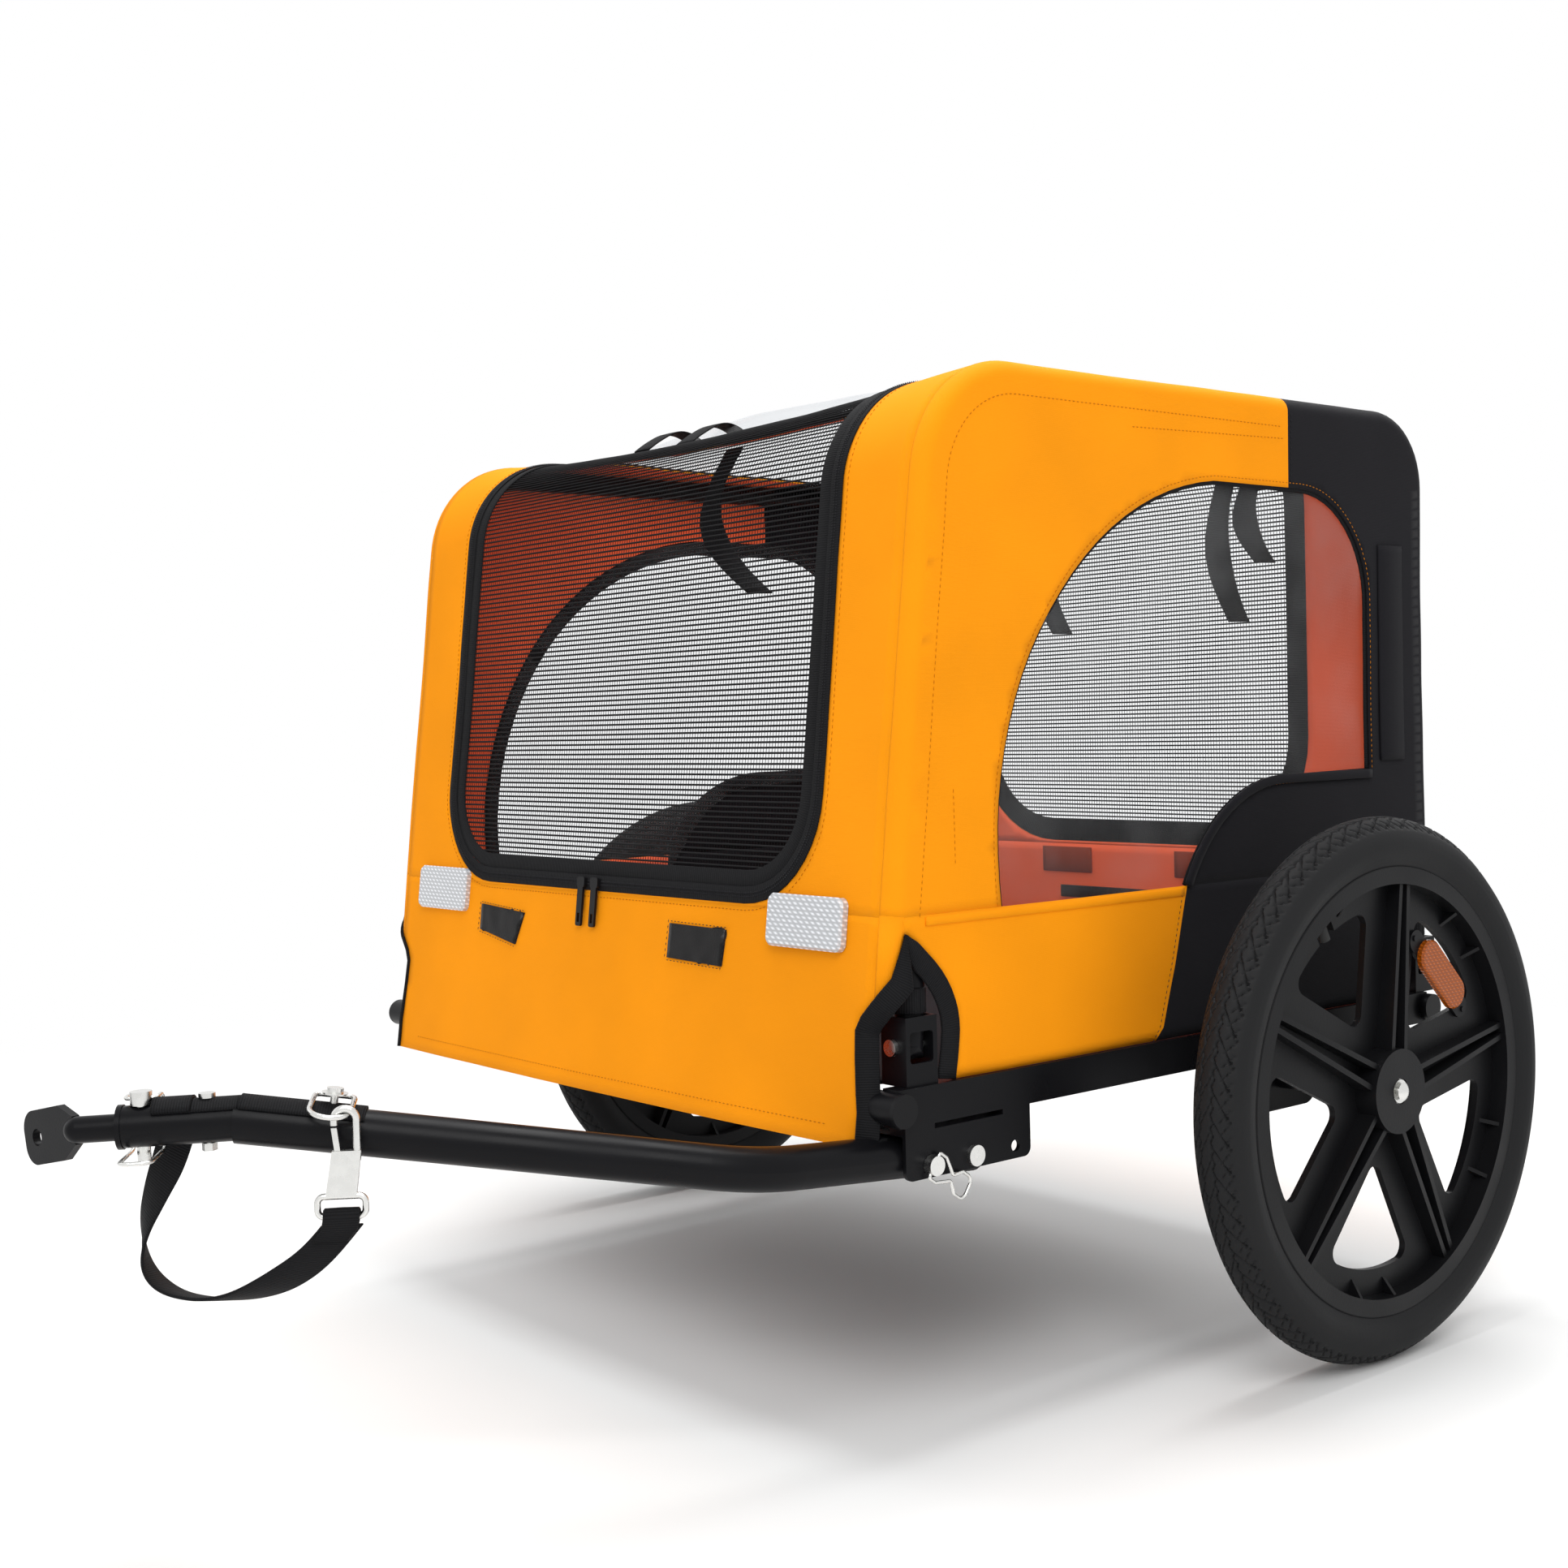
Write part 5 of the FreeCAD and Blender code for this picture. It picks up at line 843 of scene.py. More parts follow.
def profile(s):
    # Place and outward way of the wrap at a length from the front hem
    if s <= FRONT_RUN:
        out = (-math.sin(SLOPE), math.cos(SLOPE))
        return HEM_Y + s * math.cos(SLOPE), HEM_Z + s * math.sin(SLOPE), *out
    if s <= ROOF_S:
        angle = SLOPE + math.pi / 2 - (s - FRONT_RUN) / FRONT_R
        out = (math.cos(angle), math.sin(angle))
        return FRONT_BEND_Y + FRONT_R * out[0], FRONT_BEND_Z + FRONT_R * out[1], *out
    if s <= REAR_BEND_S:
        return FRONT_BEND_Y + s - ROOF_S, TOP_Z, 0.0, 1.0
    if s <= WALL_S:
        angle = math.pi / 2 - (s - REAR_BEND_S) / REAR_R
        out = (math.cos(angle), math.sin(angle))
        return REAR_BEND_Y + REAR_R * out[0], REAR_BEND_Z + REAR_R * out[1], *out
    return REAR_Y, REAR_BEND_Z - (s - WALL_S), 1.0, 0.0


def front_s(z):
    return (z - HEM_Z) / math.sin(SLOPE)


def rear_s(z):
    return WALL_S + REAR_BEND_Z - z


SILL_S = front_s(SILL_Z) + ROUND / math.tan(SLOPE)
SILL_END_S = rear_s(SILL_Z)
# Lengths where the wrap changes, and how many marks lie from each to the next
PROFILE_STOPS = (SILL_S, FRONT_RUN, ROOF_S, BLACK_S, REAR_BEND_S, WALL_S, SILL_END_S)
PROFILE_COUNTS = (46, 19, 39, 17, 13, 39)


def profile_marks():
    marks = [SILL_S]
    for start, end, count in zip(PROFILE_STOPS, PROFILE_STOPS[1:], PROFILE_COUNTS):
        marks += list(np.linspace(start, end, count))[1:]
    return marks


def wrap_lift(x, s):
    # The cloth hangs a little between the hoops, and the front hem swells out
    middle = max(0.0, 1 - (x / SEAM_X) ** 2)
    sag_start = FRONT_SEAM_S + SEAM_FADE
    seam = smooth_step(s, FRONT_RUN, FRONT_SEAM_S) * (1 - smooth_step(s, FRONT_SEAM_S, sag_start))
    roof_sag = smooth_step(s, sag_start, FRONT_SEAM_S + ROOF_SAG_FULL)
    roof_sag *= 1 - smooth_step(s, REAR_SEAM_S - ROOF_SAG_END, REAR_SEAM_S)
    hem = 1 - smooth_step(s, 0.0, HEM_BILLOW_REACH)
    return middle * (HEM_BILLOW * hem - FRONT_SAG * seam - ROOF_SAG * roof_sag)


def crease(point):
    # Small unevenness of sewn cloth, the same wherever panels meet
    big = noise.noise(Vector(point) / BIG_NOISE)
    small = noise.noise(Vector(point) / SMALL_NOISE + UP)
    return BIG_LIFT * big + SMALL_LIFT * small


def on_wrap(x, s, lift=0.0):
    y, z, out_y, out_z = profile(s)
    out = Vector((0, out_y, out_z))
    point = Vector((x, y, z))
    return point + out * (wrap_lift(x, s) + crease(point) + lift), out


def on_side(y, z, lift=0.0, side=1):
    point = Vector((side * COVER_X, y, z))
    out = Vector((side, 0, 0))
    return point + out * (crease(point) + lift), out


def side_place(side):
    return lambda y, z, lift: on_side(y, z, lift, side)


def on_edge(s, turn, side, lift=0.0):
    # The rounded edge between the wrap and a side, turn 0 at the wrap
    y, z, out_y, out_z = profile(s)
    out = Vector((0, out_y, out_z))
    way = out * math.cos(turn) + LEFTWARD * (side * math.sin(turn))
    point = Vector((side * SEAM_X, y, z)) + (way - out) * ROUND
    return point + way * (crease(point) + lift), way


def inset(s, amount=ROUND):
    y, z, out_y, out_z = profile(s)
    return y - out_y * amount, z - out_z * amount


def behind_axle(points):
    return [(AXLE_Y + y, z) for y, z in points]


def along(line, place, lift):
    return [place(u, v, lift) for u, v in spaced(line, LINE_STEP)]


# Tapes, stitches and nets that lie on the cloth

def course(path, index):
    # The way along (point, way out) pairs at one of them
    return path[min(len(path) - 1, index + 1)][0] - path[max(0, index - 1)][0]


def tape(name, path, size, material="black_webbing", body="frame", across=None):
    # A flat band along (point, way out) pairs, or with its own ways across
    width, thick = size
    points, flat, faces = [], [], []
    sides = len(TAPE_SECTION_SHARES)
    run = 0.0
    for index, (point, out) in enumerate(path):
        way = course(path, index).normalized()
        wide = across[index] if across else way.cross(out).normalized()
        face = wide.cross(way).normalized()
        run += (point - path[max(0, index - 1)][0]).length
        for u, v in TAPE_SECTION_SHARES:
            points.append(point + wide * (u * width) + face * (v * thick))
            flat.append((run, u * width))
    for index in range(len(path) - 1):
        start = index * sides
        for k in range(sides):
            following = (k + 1) % sides
            faces.append((start + k, start + following, start + sides + following, start + sides + k))
    faces.append(tuple(reversed(range(sides))))
    faces.append(tuple(range(len(points) - sides, len(points))))
    return piece(name, points, faces, [material], body, flat)


def stitches(name, paths, material="orange_thread", size=STITCH):
    # Rows of short threads along (point, way out) lines
    pitch, length, radius = size
    points, faces = [], []
    for path in paths:
        marks = np.cumsum([0] + [(b[0] - a[0]).length for a, b in zip(path, path[1:])])
        for mark in np.arange(pitch / 2, marks[-1], pitch):
            index = min(int(np.searchsorted(marks, mark)), len(path) - 1)
            start, end = path[index - 1], path[index]
            share = (mark - marks[index - 1]) / max(TINY, marks[index] - marks[index - 1])
            centre = start[0].lerp(end[0], share)
            out = start[1].lerp(end[1], share).normalized()
            way = (end[0] - start[0]).normalized() * (length / 2)
            wide = way.cross(out).normalized() * radius
            first = len(points)
            ring = [centre + wide, centre + out * radius, centre - wide, centre - out * radius]
            points += [centre - way, *ring, centre + way]
            for k in range(4):
                following = 1 + (k + 1) % 4
                faces.append((first, first + 1 + k, first + following))
                faces.append((first + 5, first + following, first + 1 + k))
    return piece(name, points, faces, [material])


def thread(points, faces, line, width):
    # One three-sided thread along (point, way out) pairs
    first = len(points)
    half = width / 2
    for index, (point, out) in enumerate(line):
        wide = course(line, index).cross(out).normalized()
        points += [point - wide * half, point + wide * half, point + out * half]
    for index in range(len(line) - 1):
        start = first + 3 * index
        for k in range(3):
            following = (k + 1) % 3
            faces.append((start + k, start + following, start + 3 + following, start + 3 + k))


def net(name, place, half, low, high, corner, body="frame"):
    # Woven net over an opening with round lower corners; place(x, height, lift) gives a point and its way out
    points, faces = [], []

    def reach(height):
        below = max(0.0, low + corner - height)
        return half - corner + math.sqrt(max(0.0, corner ** 2 - below ** 2))

    def cut(x):
        beyond = max(0.0, abs(x) - (half - corner))
        return corner - math.sqrt(max(0.0, corner ** 2 - beyond ** 2))

    for height in np.arange(low + NET_ROW_PITCH, high, NET_ROW_PITCH):
        wide = reach(height)
        row = [place(x, height, 0.0) for x in np.linspace(-wide, wide, NET_STEPS)]
        thread(points, faces, row, NET_ROW_THREAD)
    for x in np.arange(-half + NET_COLUMN_PITCH, half, NET_COLUMN_PITCH):
        heights = np.linspace(low + cut(x), high, NET_STEPS)
        column = [place(x, height, -NET_COLUMN_THREAD) for height in heights]
        thread(points, faces, column, NET_COLUMN_THREAD)
    return piece(name, points, faces, ["black_net"], body)


# Front of the cover

def opening_edge(half, low, corner, top, height_s):
    # An opening's outline from its top left down, across and up to its top right
    bottom = corner_arc((half - corner, low + corner), corner, 0, -90)
    left = [(half, top)] + [(x, height_s(z)) for x, z in bottom]
    return left + mirrored_line(left)


def door_edge(grow=0.0):
    return opening_edge(DOOR_HALF + grow, DOOR_LOW - grow, DOOR_ROUND + grow, FRONT_SEAM_S, front_s)


def front_cut():
    # Edge of the front left cut-out on the front face, from the hem up
    return [(SEAM_X + FRONT_EDGE[0][0], 0.0)] + [(SEAM_X + beside, front_s(z)) for beside, z in FRONT_EDGE]


def end_panels(name, cut, sill_s, seam_s, opening):
    # The lower and the upper cloth of the front or the rear
    lower = cut + [(SEAM_X, sill_s)]
    lower = lower + mirrored_line(lower)
    outer = [(SEAM_X, sill_s), (SEAM_X, seam_s)]
    upper = outer + opening + mirrored_line(outer)
    low_piece = cloth(name + "_lower", fill(lower), on_wrap, "orange_cloth")
    high_piece = folds(cloth(name + "_upper", fill(upper), on_wrap, "orange_cloth"))
    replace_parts(low_piece, name + "_panel")
    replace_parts(high_piece, name + "_panel")
    declare(lower, ())
    declare(upper, ())


def front_panels():
    end_panels("front", front_cut(), front_s(SILL_Z), FRONT_SEAM_S, door_edge())


def door_zip():
    band = tape("door_zip_tape", along(door_edge(-ZIP_WIDTH / 2), on_wrap, ZIP_TAPE_LIFT), ZIP_TAPE)
    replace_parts(folds(band), "door_zip")
    edges = [door_edge(-ZIP_WIDTH / 2 + beside) for beside in (-ZIP_COIL_ROW, ZIP_COIL_ROW)]
    rows = [along(edge, on_wrap, ZIP_COIL_LIFT) for edge in edges]
    folds(stitches("door_zip_coil", rows, "zip_coil", ZIP_COIL))


def front_door():
    def place(x, s, lift):
        return on_wrap(x, s, lift - DOOR_NET_DROP)

    low, high = front_s(DOOR_LOW + ZIP_WIDTH), FRONT_SEAM_S - NET_GAP
    mesh = net("front_net", place, DOOR_HALF - ZIP_WIDTH, low, high, DOOR_ROUND - ZIP_WIDTH, "front_door")
    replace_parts(folds(mesh), "front_mesh_door")
    limit = FRONT_SEAM_S - DOOR_BINDING_TOP
    edge = [(x, min(s, limit)) for x, s in door_edge(-ZIP_WIDTH - DOOR_BINDING_IN)]
    binding = along(edge, on_wrap, -DOOR_BINDING_DROP)
    folds(tape("front_door_binding", binding, DOOR_BINDING, body="front_door"))
    half = DOOR_HALF - DOOR_TOP_TAPE_IN
    top = [(x, FRONT_SEAM_S - DOOR_TOP_TAPE_BELOW) for x in (-half, 0.0, half)]
    folds(tape("front_door_top_tape", along(top, on_wrap, 0.0), DOOR_TOP_TAPE, body="front_door"))


# Corner cut-outs

def cut_line(steps=CUT_STEPS):
    # Rear cut-out as (distance across the corner, height), from its foot to its top
    shares = CUT_SHOULDER_SHARES
    shoulder = (CUT_HALF * shares[0], CUT_SPRING + (CUT_TOP - CUT_SPRING) * shares[1])
    return arc((CUT_HALF, CUT_SPRING), shoulder, (0.0, CUT_TOP), steps)


def cut_height(across):
    line = cut_line(CUT_FINE_STEPS)[::-1]
    return float(np.interp(abs(across), [a for a, _ in line], [z for _, z in line]))


def cut_half(z):
    line = cut_line(CUT_FINE_STEPS)
    return float(np.interp(z, [height for _, height in line], [across for across, _ in line]))


def rear_cut():
    # Edge of the rear left cut-out on the rear face, from the hem up
    corners = [(CUT_HALF, REAR_LOW)] + cut_line()
    beside = [SEAM_X - DIAGONAL * across + REAR_Y - REAR_CUT_Y for across, _ in corners]
    return [(min(SEAM_X, x), rear_s(z)) for x, (_, z) in zip(beside, corners)]


def edge_start(turn, rear):
    # Where the rounded edge meets the top of a corner cut-out
    if not rear:
        z = float(np.interp(math.degrees(turn), FRONT_CUT_TURNS, FRONT_CUT_ZS))
        return front_s(z + ROUND * math.cos(SLOPE) * (1 - math.cos(turn)))
    point, _ = on_edge(rear_s(CUT_TOP), turn, 1)
    return rear_s(cut_height((point.x - SEAM_X + REAR_CUT_Y - point.y) / DIAGONAL))


def side_front(z):
    # Front edge of the flat side at a height below the sill
    foot = HEM_Y + (z + ROUND * math.cos(SLOPE) - HEM_Z) / math.tan(SLOPE) + ROUND * math.sin(SLOPE)
    if z > SIDE_EDGE_ZS[-1]:
        return foot - CORNER_OVERLAP
    return max(foot - CORNER_OVERLAP, AXLE_Y + float(np.interp(z, SIDE_EDGE_ZS, SIDE_EDGE_YS)))


def side_rear(z):
    return min(REAR_Y - ROUND + CORNER_OVERLAP, REAR_CUT_Y + ROUND - DIAGONAL * cut_half(z))


# Sides of the cover

SIDE_CLOTHS = ["orange_cloth", "orange_lining", "black_cloth", "black_cloth"]
BLACK_INDEX = 2


def window_edge():
    # From the front of the sill up, over the crown, down and along the wheel arch
    front, crown = (WINDOW_FRONT, SILL_Z), (WINDOW_CROWN_FRONT, WINDOW_CROWN_Z)
    turn, shoulder = (WINDOW_CROWN_REAR, WINDOW_CROWN_Z), (WINDOW_REAR, WINDOW_SHOULDER_Z)
    spring, foot = (ARCH_SPRING, ARCH_Z), (ARCH_FOOT, SILL_Z)
    line = arc(front, share_point(front, crown, WINDOW_FRONT_SHARES), crown, WINDOW_ARC_STEPS)
    line += arc(turn, share_point(turn, shoulder, WINDOW_REAR_SHARES), shoulder)
    line += [(WINDOW_REAR, ARCH_Z)] + arc(spring, share_point(spring, foot, ARCH_SHARES), foot)
    return behind_axle(line)


def black_side(y, z):
    # The rear of each side is black, and so is the piece over the wheel
    behind = y - AXLE_Y
    if z < SILL_Z:
        return behind > np.interp(z, SPLIT_ZS, SPLIT_YS)
    return behind > BLACK_TOP_Y or (z < ARCH_Z + BLACK_ARCH_RISE and behind > ARCH_FOOT)


def weld(points, faces, flat):
    # Joins points that lie on each other, and drops the faces that this closes
    keys = np.round(np.array([tuple(point) for point in points]), WELD_DECIMALS)
    _, first, index = np.unique(keys, axis=0, return_index=True, return_inverse=True)
    index = index.ravel()
    faces = [[int(index[corner]) for corner in face] for face in faces]
    faces = [face for face in faces if len(set(face)) == len(face)]
    return [points[k] for k in first], faces, [flat[k] for k in first]


def side_cloth(name, filled, side, bands):
    # A side panel with the rounded edges that belong to it
    flat, faces = filled
    placed = [on_side(y, z, 0.0, side) for y, z in flat]
    points, outs = [p for p, _ in placed], [out for _, out in placed]
    flat, faces = [tuple(point) for point in flat], [list(face) for face in faces]
    for band in bands:
        for number, row in enumerate(band):
            start, count = len(points), len(row)
            for turn, s in row:
                point, out = on_edge(s, turn, side)
                y, z, out_y, out_z = profile(s)
                reach = ROUND * (math.pi / 2 - turn) - ROUND
                points.append(point)
                outs.append(out)
                flat.append((y + out_y * reach, z + out_z * reach))
            if number:
                corners = range(start, start + count - 1)
                faces += [[k - count, k + 1 - count, k + 1, k] for k in corners]
    points, faces, flat = weld(points, facing(points, faces, outs), flat)
    middles = [np.mean([flat[corner] for corner in face], axis=0) for face in faces]
    marks = [BLACK_INDEX if black_side(*middle) else 0 for middle in middles]
    return thicken(piece(name, points, faces, SIDE_CLOTHS, "frame", flat, marks), CLOTH, 1)


def side_panels():
    split = behind_axle(zip(SPLIT_YS, SPLIT_ZS))
    split[0] = (split[0][0], SIDE_LOW)
    heights = list(np.linspace(SIDE_LOW, SILL_Z, SIDE_EDGE_STEPS))
    lower = [(side_rear(z), z) for z in heights] + [(side_front(z), z) for z in heights[::-1]]
    marks = profile_marks()
    window = window_edge()[::-1]
    upper = [inset(s) for s in marks] + window
    cut_upper = [inset(s, -ROUND / 2) for s in marks] + window
    crown = behind_axle([(BLACK_TOP_Y, WINDOW_CROWN_Z), (BLACK_TOP_Y, TOP_Z - ROUND)])
    low_fill, high_fill = fill(lower, (), [split]), fill(upper, (), [crown])
    first = [(turn, edge_start(turn, False)) for turn in EDGE_TURNS]
    last = [(turn, edge_start(turn, True)) for turn in EDGE_TURNS]
    rows = [[(turn, s) for turn in EDGE_TURNS] for s in marks]
    for name, side in SIDES:
        low_piece = side_cloth(name + "_side_lower", low_fill, side, [[first, rows[0]], [rows[-1], last]])
        high_piece = folds(side_cloth(name + "_side_upper", high_fill, side, [rows]))
        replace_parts(low_piece, name + "_side_panel")
        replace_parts(high_piece, name + "_side_panel")
        declare(lower, ())
        declare(cut_upper, ())


def film_lift(point):
    wave = noise.noise(Vector(point) / FILM_WAVE_SIZE)
    return FILM_WAVE * wave + FILM_RIPPLE * noise.noise(Vector(point) / FILM_RIPPLE_SIZE)


def film_fold(y, z):
    # A sharp crease across the window, highest on its line
    spot = Vector((y, z))
    nearest = FILM_FOLD_REACH
    fold = [Vector(point) for point in behind_axle(FILM_FOLD)]
    for start, end in zip(fold, fold[1:]):
        run = end - start
        share = min(1.0, max(0.0, (spot - start).dot(run) / run.length_squared))
        nearest = min(nearest, (start + run * share - spot).length)
    return FILM_FOLD_LIFT * (1 - nearest / FILM_FOLD_REACH)


def side_windows():
    edge = window_edge()
    loop = offset_line(edge, WINDOW_LAP, True)
    filled = fill(loop, (), [behind_axle(FILM_FOLD)], FILM_STEP)
    arch_start = AXLE_Y + ARCH_FOOT - ARCH_SLACK
    arch = [point for point in edge if point[1] < ARCH_Z + ARCH_SLACK and point[0] > arch_start]
    for name, side in SIDES:

        def film_place(y, z):
            point, out = on_side(y, z, -CLOTH - FILM_BEHIND, side)
            return point + out * (film_lift(point) + film_fold(y, z)), out

        def inner(y, z, lift):
            point, out = on_side(y, z, lift - CLOTH - WINDOW_BINDING_GAP, side)
            return point, -out

        film = cloth(name + "_window_film", filled, film_place, "clear_film", "clear_film", FILM)
        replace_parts(folds(film), "side_windows")
        declare(loop, ())
        binding = along(offset_line(edge, WINDOW_BINDING_OUT), inner, 0.0)
        folds(tape(name + "_window_binding", binding, WINDOW_BINDING))
        sewn = along(offset_line(edge, WINDOW_STITCH_OUT), side_place(side), STITCH_LIFT)
        folds(stitches(name + "_window_stitches", [sewn]))
        raised = along(arch, side_place(side), ARCH_BEAD_LIFT)
        folds(tape(name + "_arch_edge", raised, ARCH_BEAD, "black_cloth"))


# Roof, rear and floor of the cover

def roof():
    front, rear = FRONT_SEAM_S + ROOF_WINDOW_MARGIN, REAR_SEAM_S - ROOF_WINDOW_MARGIN
    half, lap = ROOF_WINDOW_HALF, ROOF_WINDOW_LAP
    outer, hole = rectangle(SEAM_X, FRONT_SEAM_S, REAR_SEAM_S), rectangle(half, front, rear)
    split = [[(side * half, BLACK_S), (side * SEAM_X, BLACK_S)] for _, side in SIDES]
    filled = fill(outer, [hole], split)
    points, faces = laid(filled, on_wrap)
    middles = [np.mean([filled[0][corner][1] for corner in face]) for face in faces]
    marks = [BLACK_INDEX if middle > BLACK_S else 0 for middle in middles]
    panel = thicken(piece("roof_cloth", points, faces, SIDE_CLOTHS, "frame", filled[0], marks), CLOTH, 1)
    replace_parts(folds(panel), "roof_panel")
    declare(outer, [hole])

    def film_place(x, s):
        point, out = on_wrap(x, s, -CLOTH - ROOF_FILM_BELOW)
        rise = ROOF_BULGE * max(0.0, 1 - (x / half) ** 2) * smooth_step(s - front, *ROOF_BULGE_RISE)
        rise *= 1 - ROOF_BULGE_FALL_SHARE * smooth_step(s - front, *ROOF_BULGE_FALL)
        return point + out * (rise + ROOF_FILM_WAVE_SHARE * film_lift(point)), out

    loop = rectangle(half + lap, front - lap, rear + lap)
    film = cloth("roof_film", fill(loop, step=ROOF_FILM_STEP), film_place, "clear_film", "clear_film", FILM)
    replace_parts(folds(film), "roof_window")
    declare(loop, ())
    edge = spaced(offset_line(hole, -ROOF_TAPE_OUT, True), ROOF_TAPE_STEP, True)
    path = [on_wrap(x, s, ROOF_TAPE_LIFT) for x, s in edge + edge[:1]]
    folds(tape("roof_window_stitch_tape", path, ROOF_TAPE, "black_cloth"))


def rear_edge(grow=0.0):
    return opening_edge(REAR_DOOR_HALF + grow, DOOR_LOW - grow, REAR_DOOR_ROUND + grow, REAR_SEAM_S, rear_s)


def rear_panels():
    end_panels("rear", rear_cut(), SILL_END_S, REAR_SEAM_S, rear_edge())

    def place(x, rise, lift):
        return on_wrap(x, HEM_END_S - rise, lift - REAR_NET_DROP)

    low, high = HEM_END_S - rear_s(DOOR_LOW + NET_GAP), HEM_END_S - REAR_SEAM_S - NET_GAP
    mesh = net("rear_net", place, REAR_DOOR_HALF - NET_GAP, low, high, REAR_DOOR_ROUND)
    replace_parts(folds(mesh), "rear_mesh_door")
    edge = along(rear_edge(-REAR_BINDING[0] / 2), on_wrap, 0.0)
    folds(tape("rear_door_binding", edge, REAR_BINDING))
    half = REAR_DOOR_HALF - REAR_BINDING[0]
    top = [(x, REAR_SEAM_S + REAR_TOP_TAPE_BELOW) for x in (-half, 0.0, half)]
    folds(tape("rear_door_top_tape", along(top, on_wrap, 0.0), REAR_TOP_TAPE))


def rear_lining():
    # Darker lining behind the tabs sewn on the rear's outside, painted shade where the tabs keep light from coming
    # through the cloth, and a flat strip inside the rear wall, seen through the side window
    def place(x, s, lift):
        point, out = on_wrap(x, s, -CLOTH - REAR_LINING_GAP - lift)
        return point, -out

    def level(x, half, z):
        return [(x - half, rear_s(z)), (x + half, rear_s(z))]

    for name, x in (("far", -REAR_TAB_SHADOW_X), ("near", REAR_TAB_SHADOW_X)):
        line = along(level(x, REAR_TAB_SHADOW_HALF, REAR_TAB_SHADOW_Z), place, 0.0)
        tape(name + "_rear_patch", line, REAR_TAB_SHADOW, "lining_patch")
    strip = along(level(0.0, REAR_STRIP_HALF, REAR_STRIP_Z), place, REAR_STRIP_LIFT)
    tape("rear_inner_strip", strip, REAR_STRIP)


def floor_cloth():
    low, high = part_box("floor_panel")
    corner = MAT_CORNER
    loop = []
    corners = ((high.x, low.y, -90), (high.x, high.y, 0), (low.x, high.y, 90), (low.x, low.y, 180))
    for x, y, start in corners:
        centre = (x - math.copysign(corner, x), y + corner if y == low.y else y - corner)
        loop += corner_arc(centre, corner, start, start + 90, steps=6)

    def place(x, y):
        point = Vector((x, y, high.z))
        return point + UP * (crease(point) - MAT_DROP), UP

    thick = high.z - low.z - MAT_SLACK
    mat = cloth("floor_cloth", fill(loop, step=MAT_STEP), place, "black_cloth", "black_cloth", thick)
    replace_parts(mat, "floor_panel")
    declare(loop, ())


# Sewn trim

def corner_legs(rear):
    # Edge of a left corner cut-out: up the end panel to its top, then on down the side
    line = front_cut()
    if rear:
        line = [(x, s) for x, s in rear_cut() if s > edge_start(0.0, True)]
    lift = CUT_BINDING_LIFT
    apex = math.radians(REAR_CUT_APEX if rear else 90)
    turned = [(turn, on_edge(edge_start(turn, rear), turn, 1, lift)) for turn in EDGE_TURNS]
    end_leg = [on_wrap(x, s, lift) for x, s in spaced(line, CUT_BINDING_STEP)[:-1]]
    end_leg += [spot for turn, spot in turned if turn <= apex + FINE]
    side_leg = [spot for turn, spot in turned if turn >= apex - FINE]
    edge = side_rear if rear else side_front
    heights = np.linspace(side_leg[-1][0].z, SIDE_LOW, CUT_SIDE_STEPS)[1:]
    return end_leg, side_leg + [on_side(edge(z), z, lift) for z in heights]


def into_cut(leg, top, taper, inward, lean=None):
    # A leg moved into the opening, with its ways across, which shrink to a tip at the top
    path, across = [], []
    for index, (point, out) in enumerate(leg):
        share = min(1.0, max(CUT_BINDING_TIP_SHARE, (top - point).length / taper))
        wide = course(leg, index).cross(lean or out).normalized() * share
        path.append((point + wide * inward, lean or out))
        across.append(wide)
    return path, across


def corner_bindings():
    turn = math.radians(CUT_LEAN)
    flip = Matrix.Diagonal((-1, 1, 1))
    ends = (
        ("front", False, CUT_BINDING_SHIFT, CUT_BINDING, Vector((math.sin(turn), -math.cos(turn), 0))),
        ("rear", True, -REAR_BINDING_SHIFT, REAR_CUT_BINDING, None),
    )
    for end, rear, inward, size, lean in ends:
        end_leg, side_leg = corner_legs(rear)
        top = side_leg[0][0]
        legs = (("end", into_cut(end_leg, top, CUT_BINDING_TAPER, inward, lean)),
                ("side", into_cut(side_leg, top, CUT_SIDE_TAPER, inward)))
        for leg, (path, across) in legs:
            far_path = [(flip @ point, flip @ out) for point, out in path]
            far_across = [flip @ wide for wide in across]
            for name, line, wide in (("left", path, across), ("right", far_path, far_across)):
                tape("_".join((name, end, leg, "binding")), line, size, across=wide)


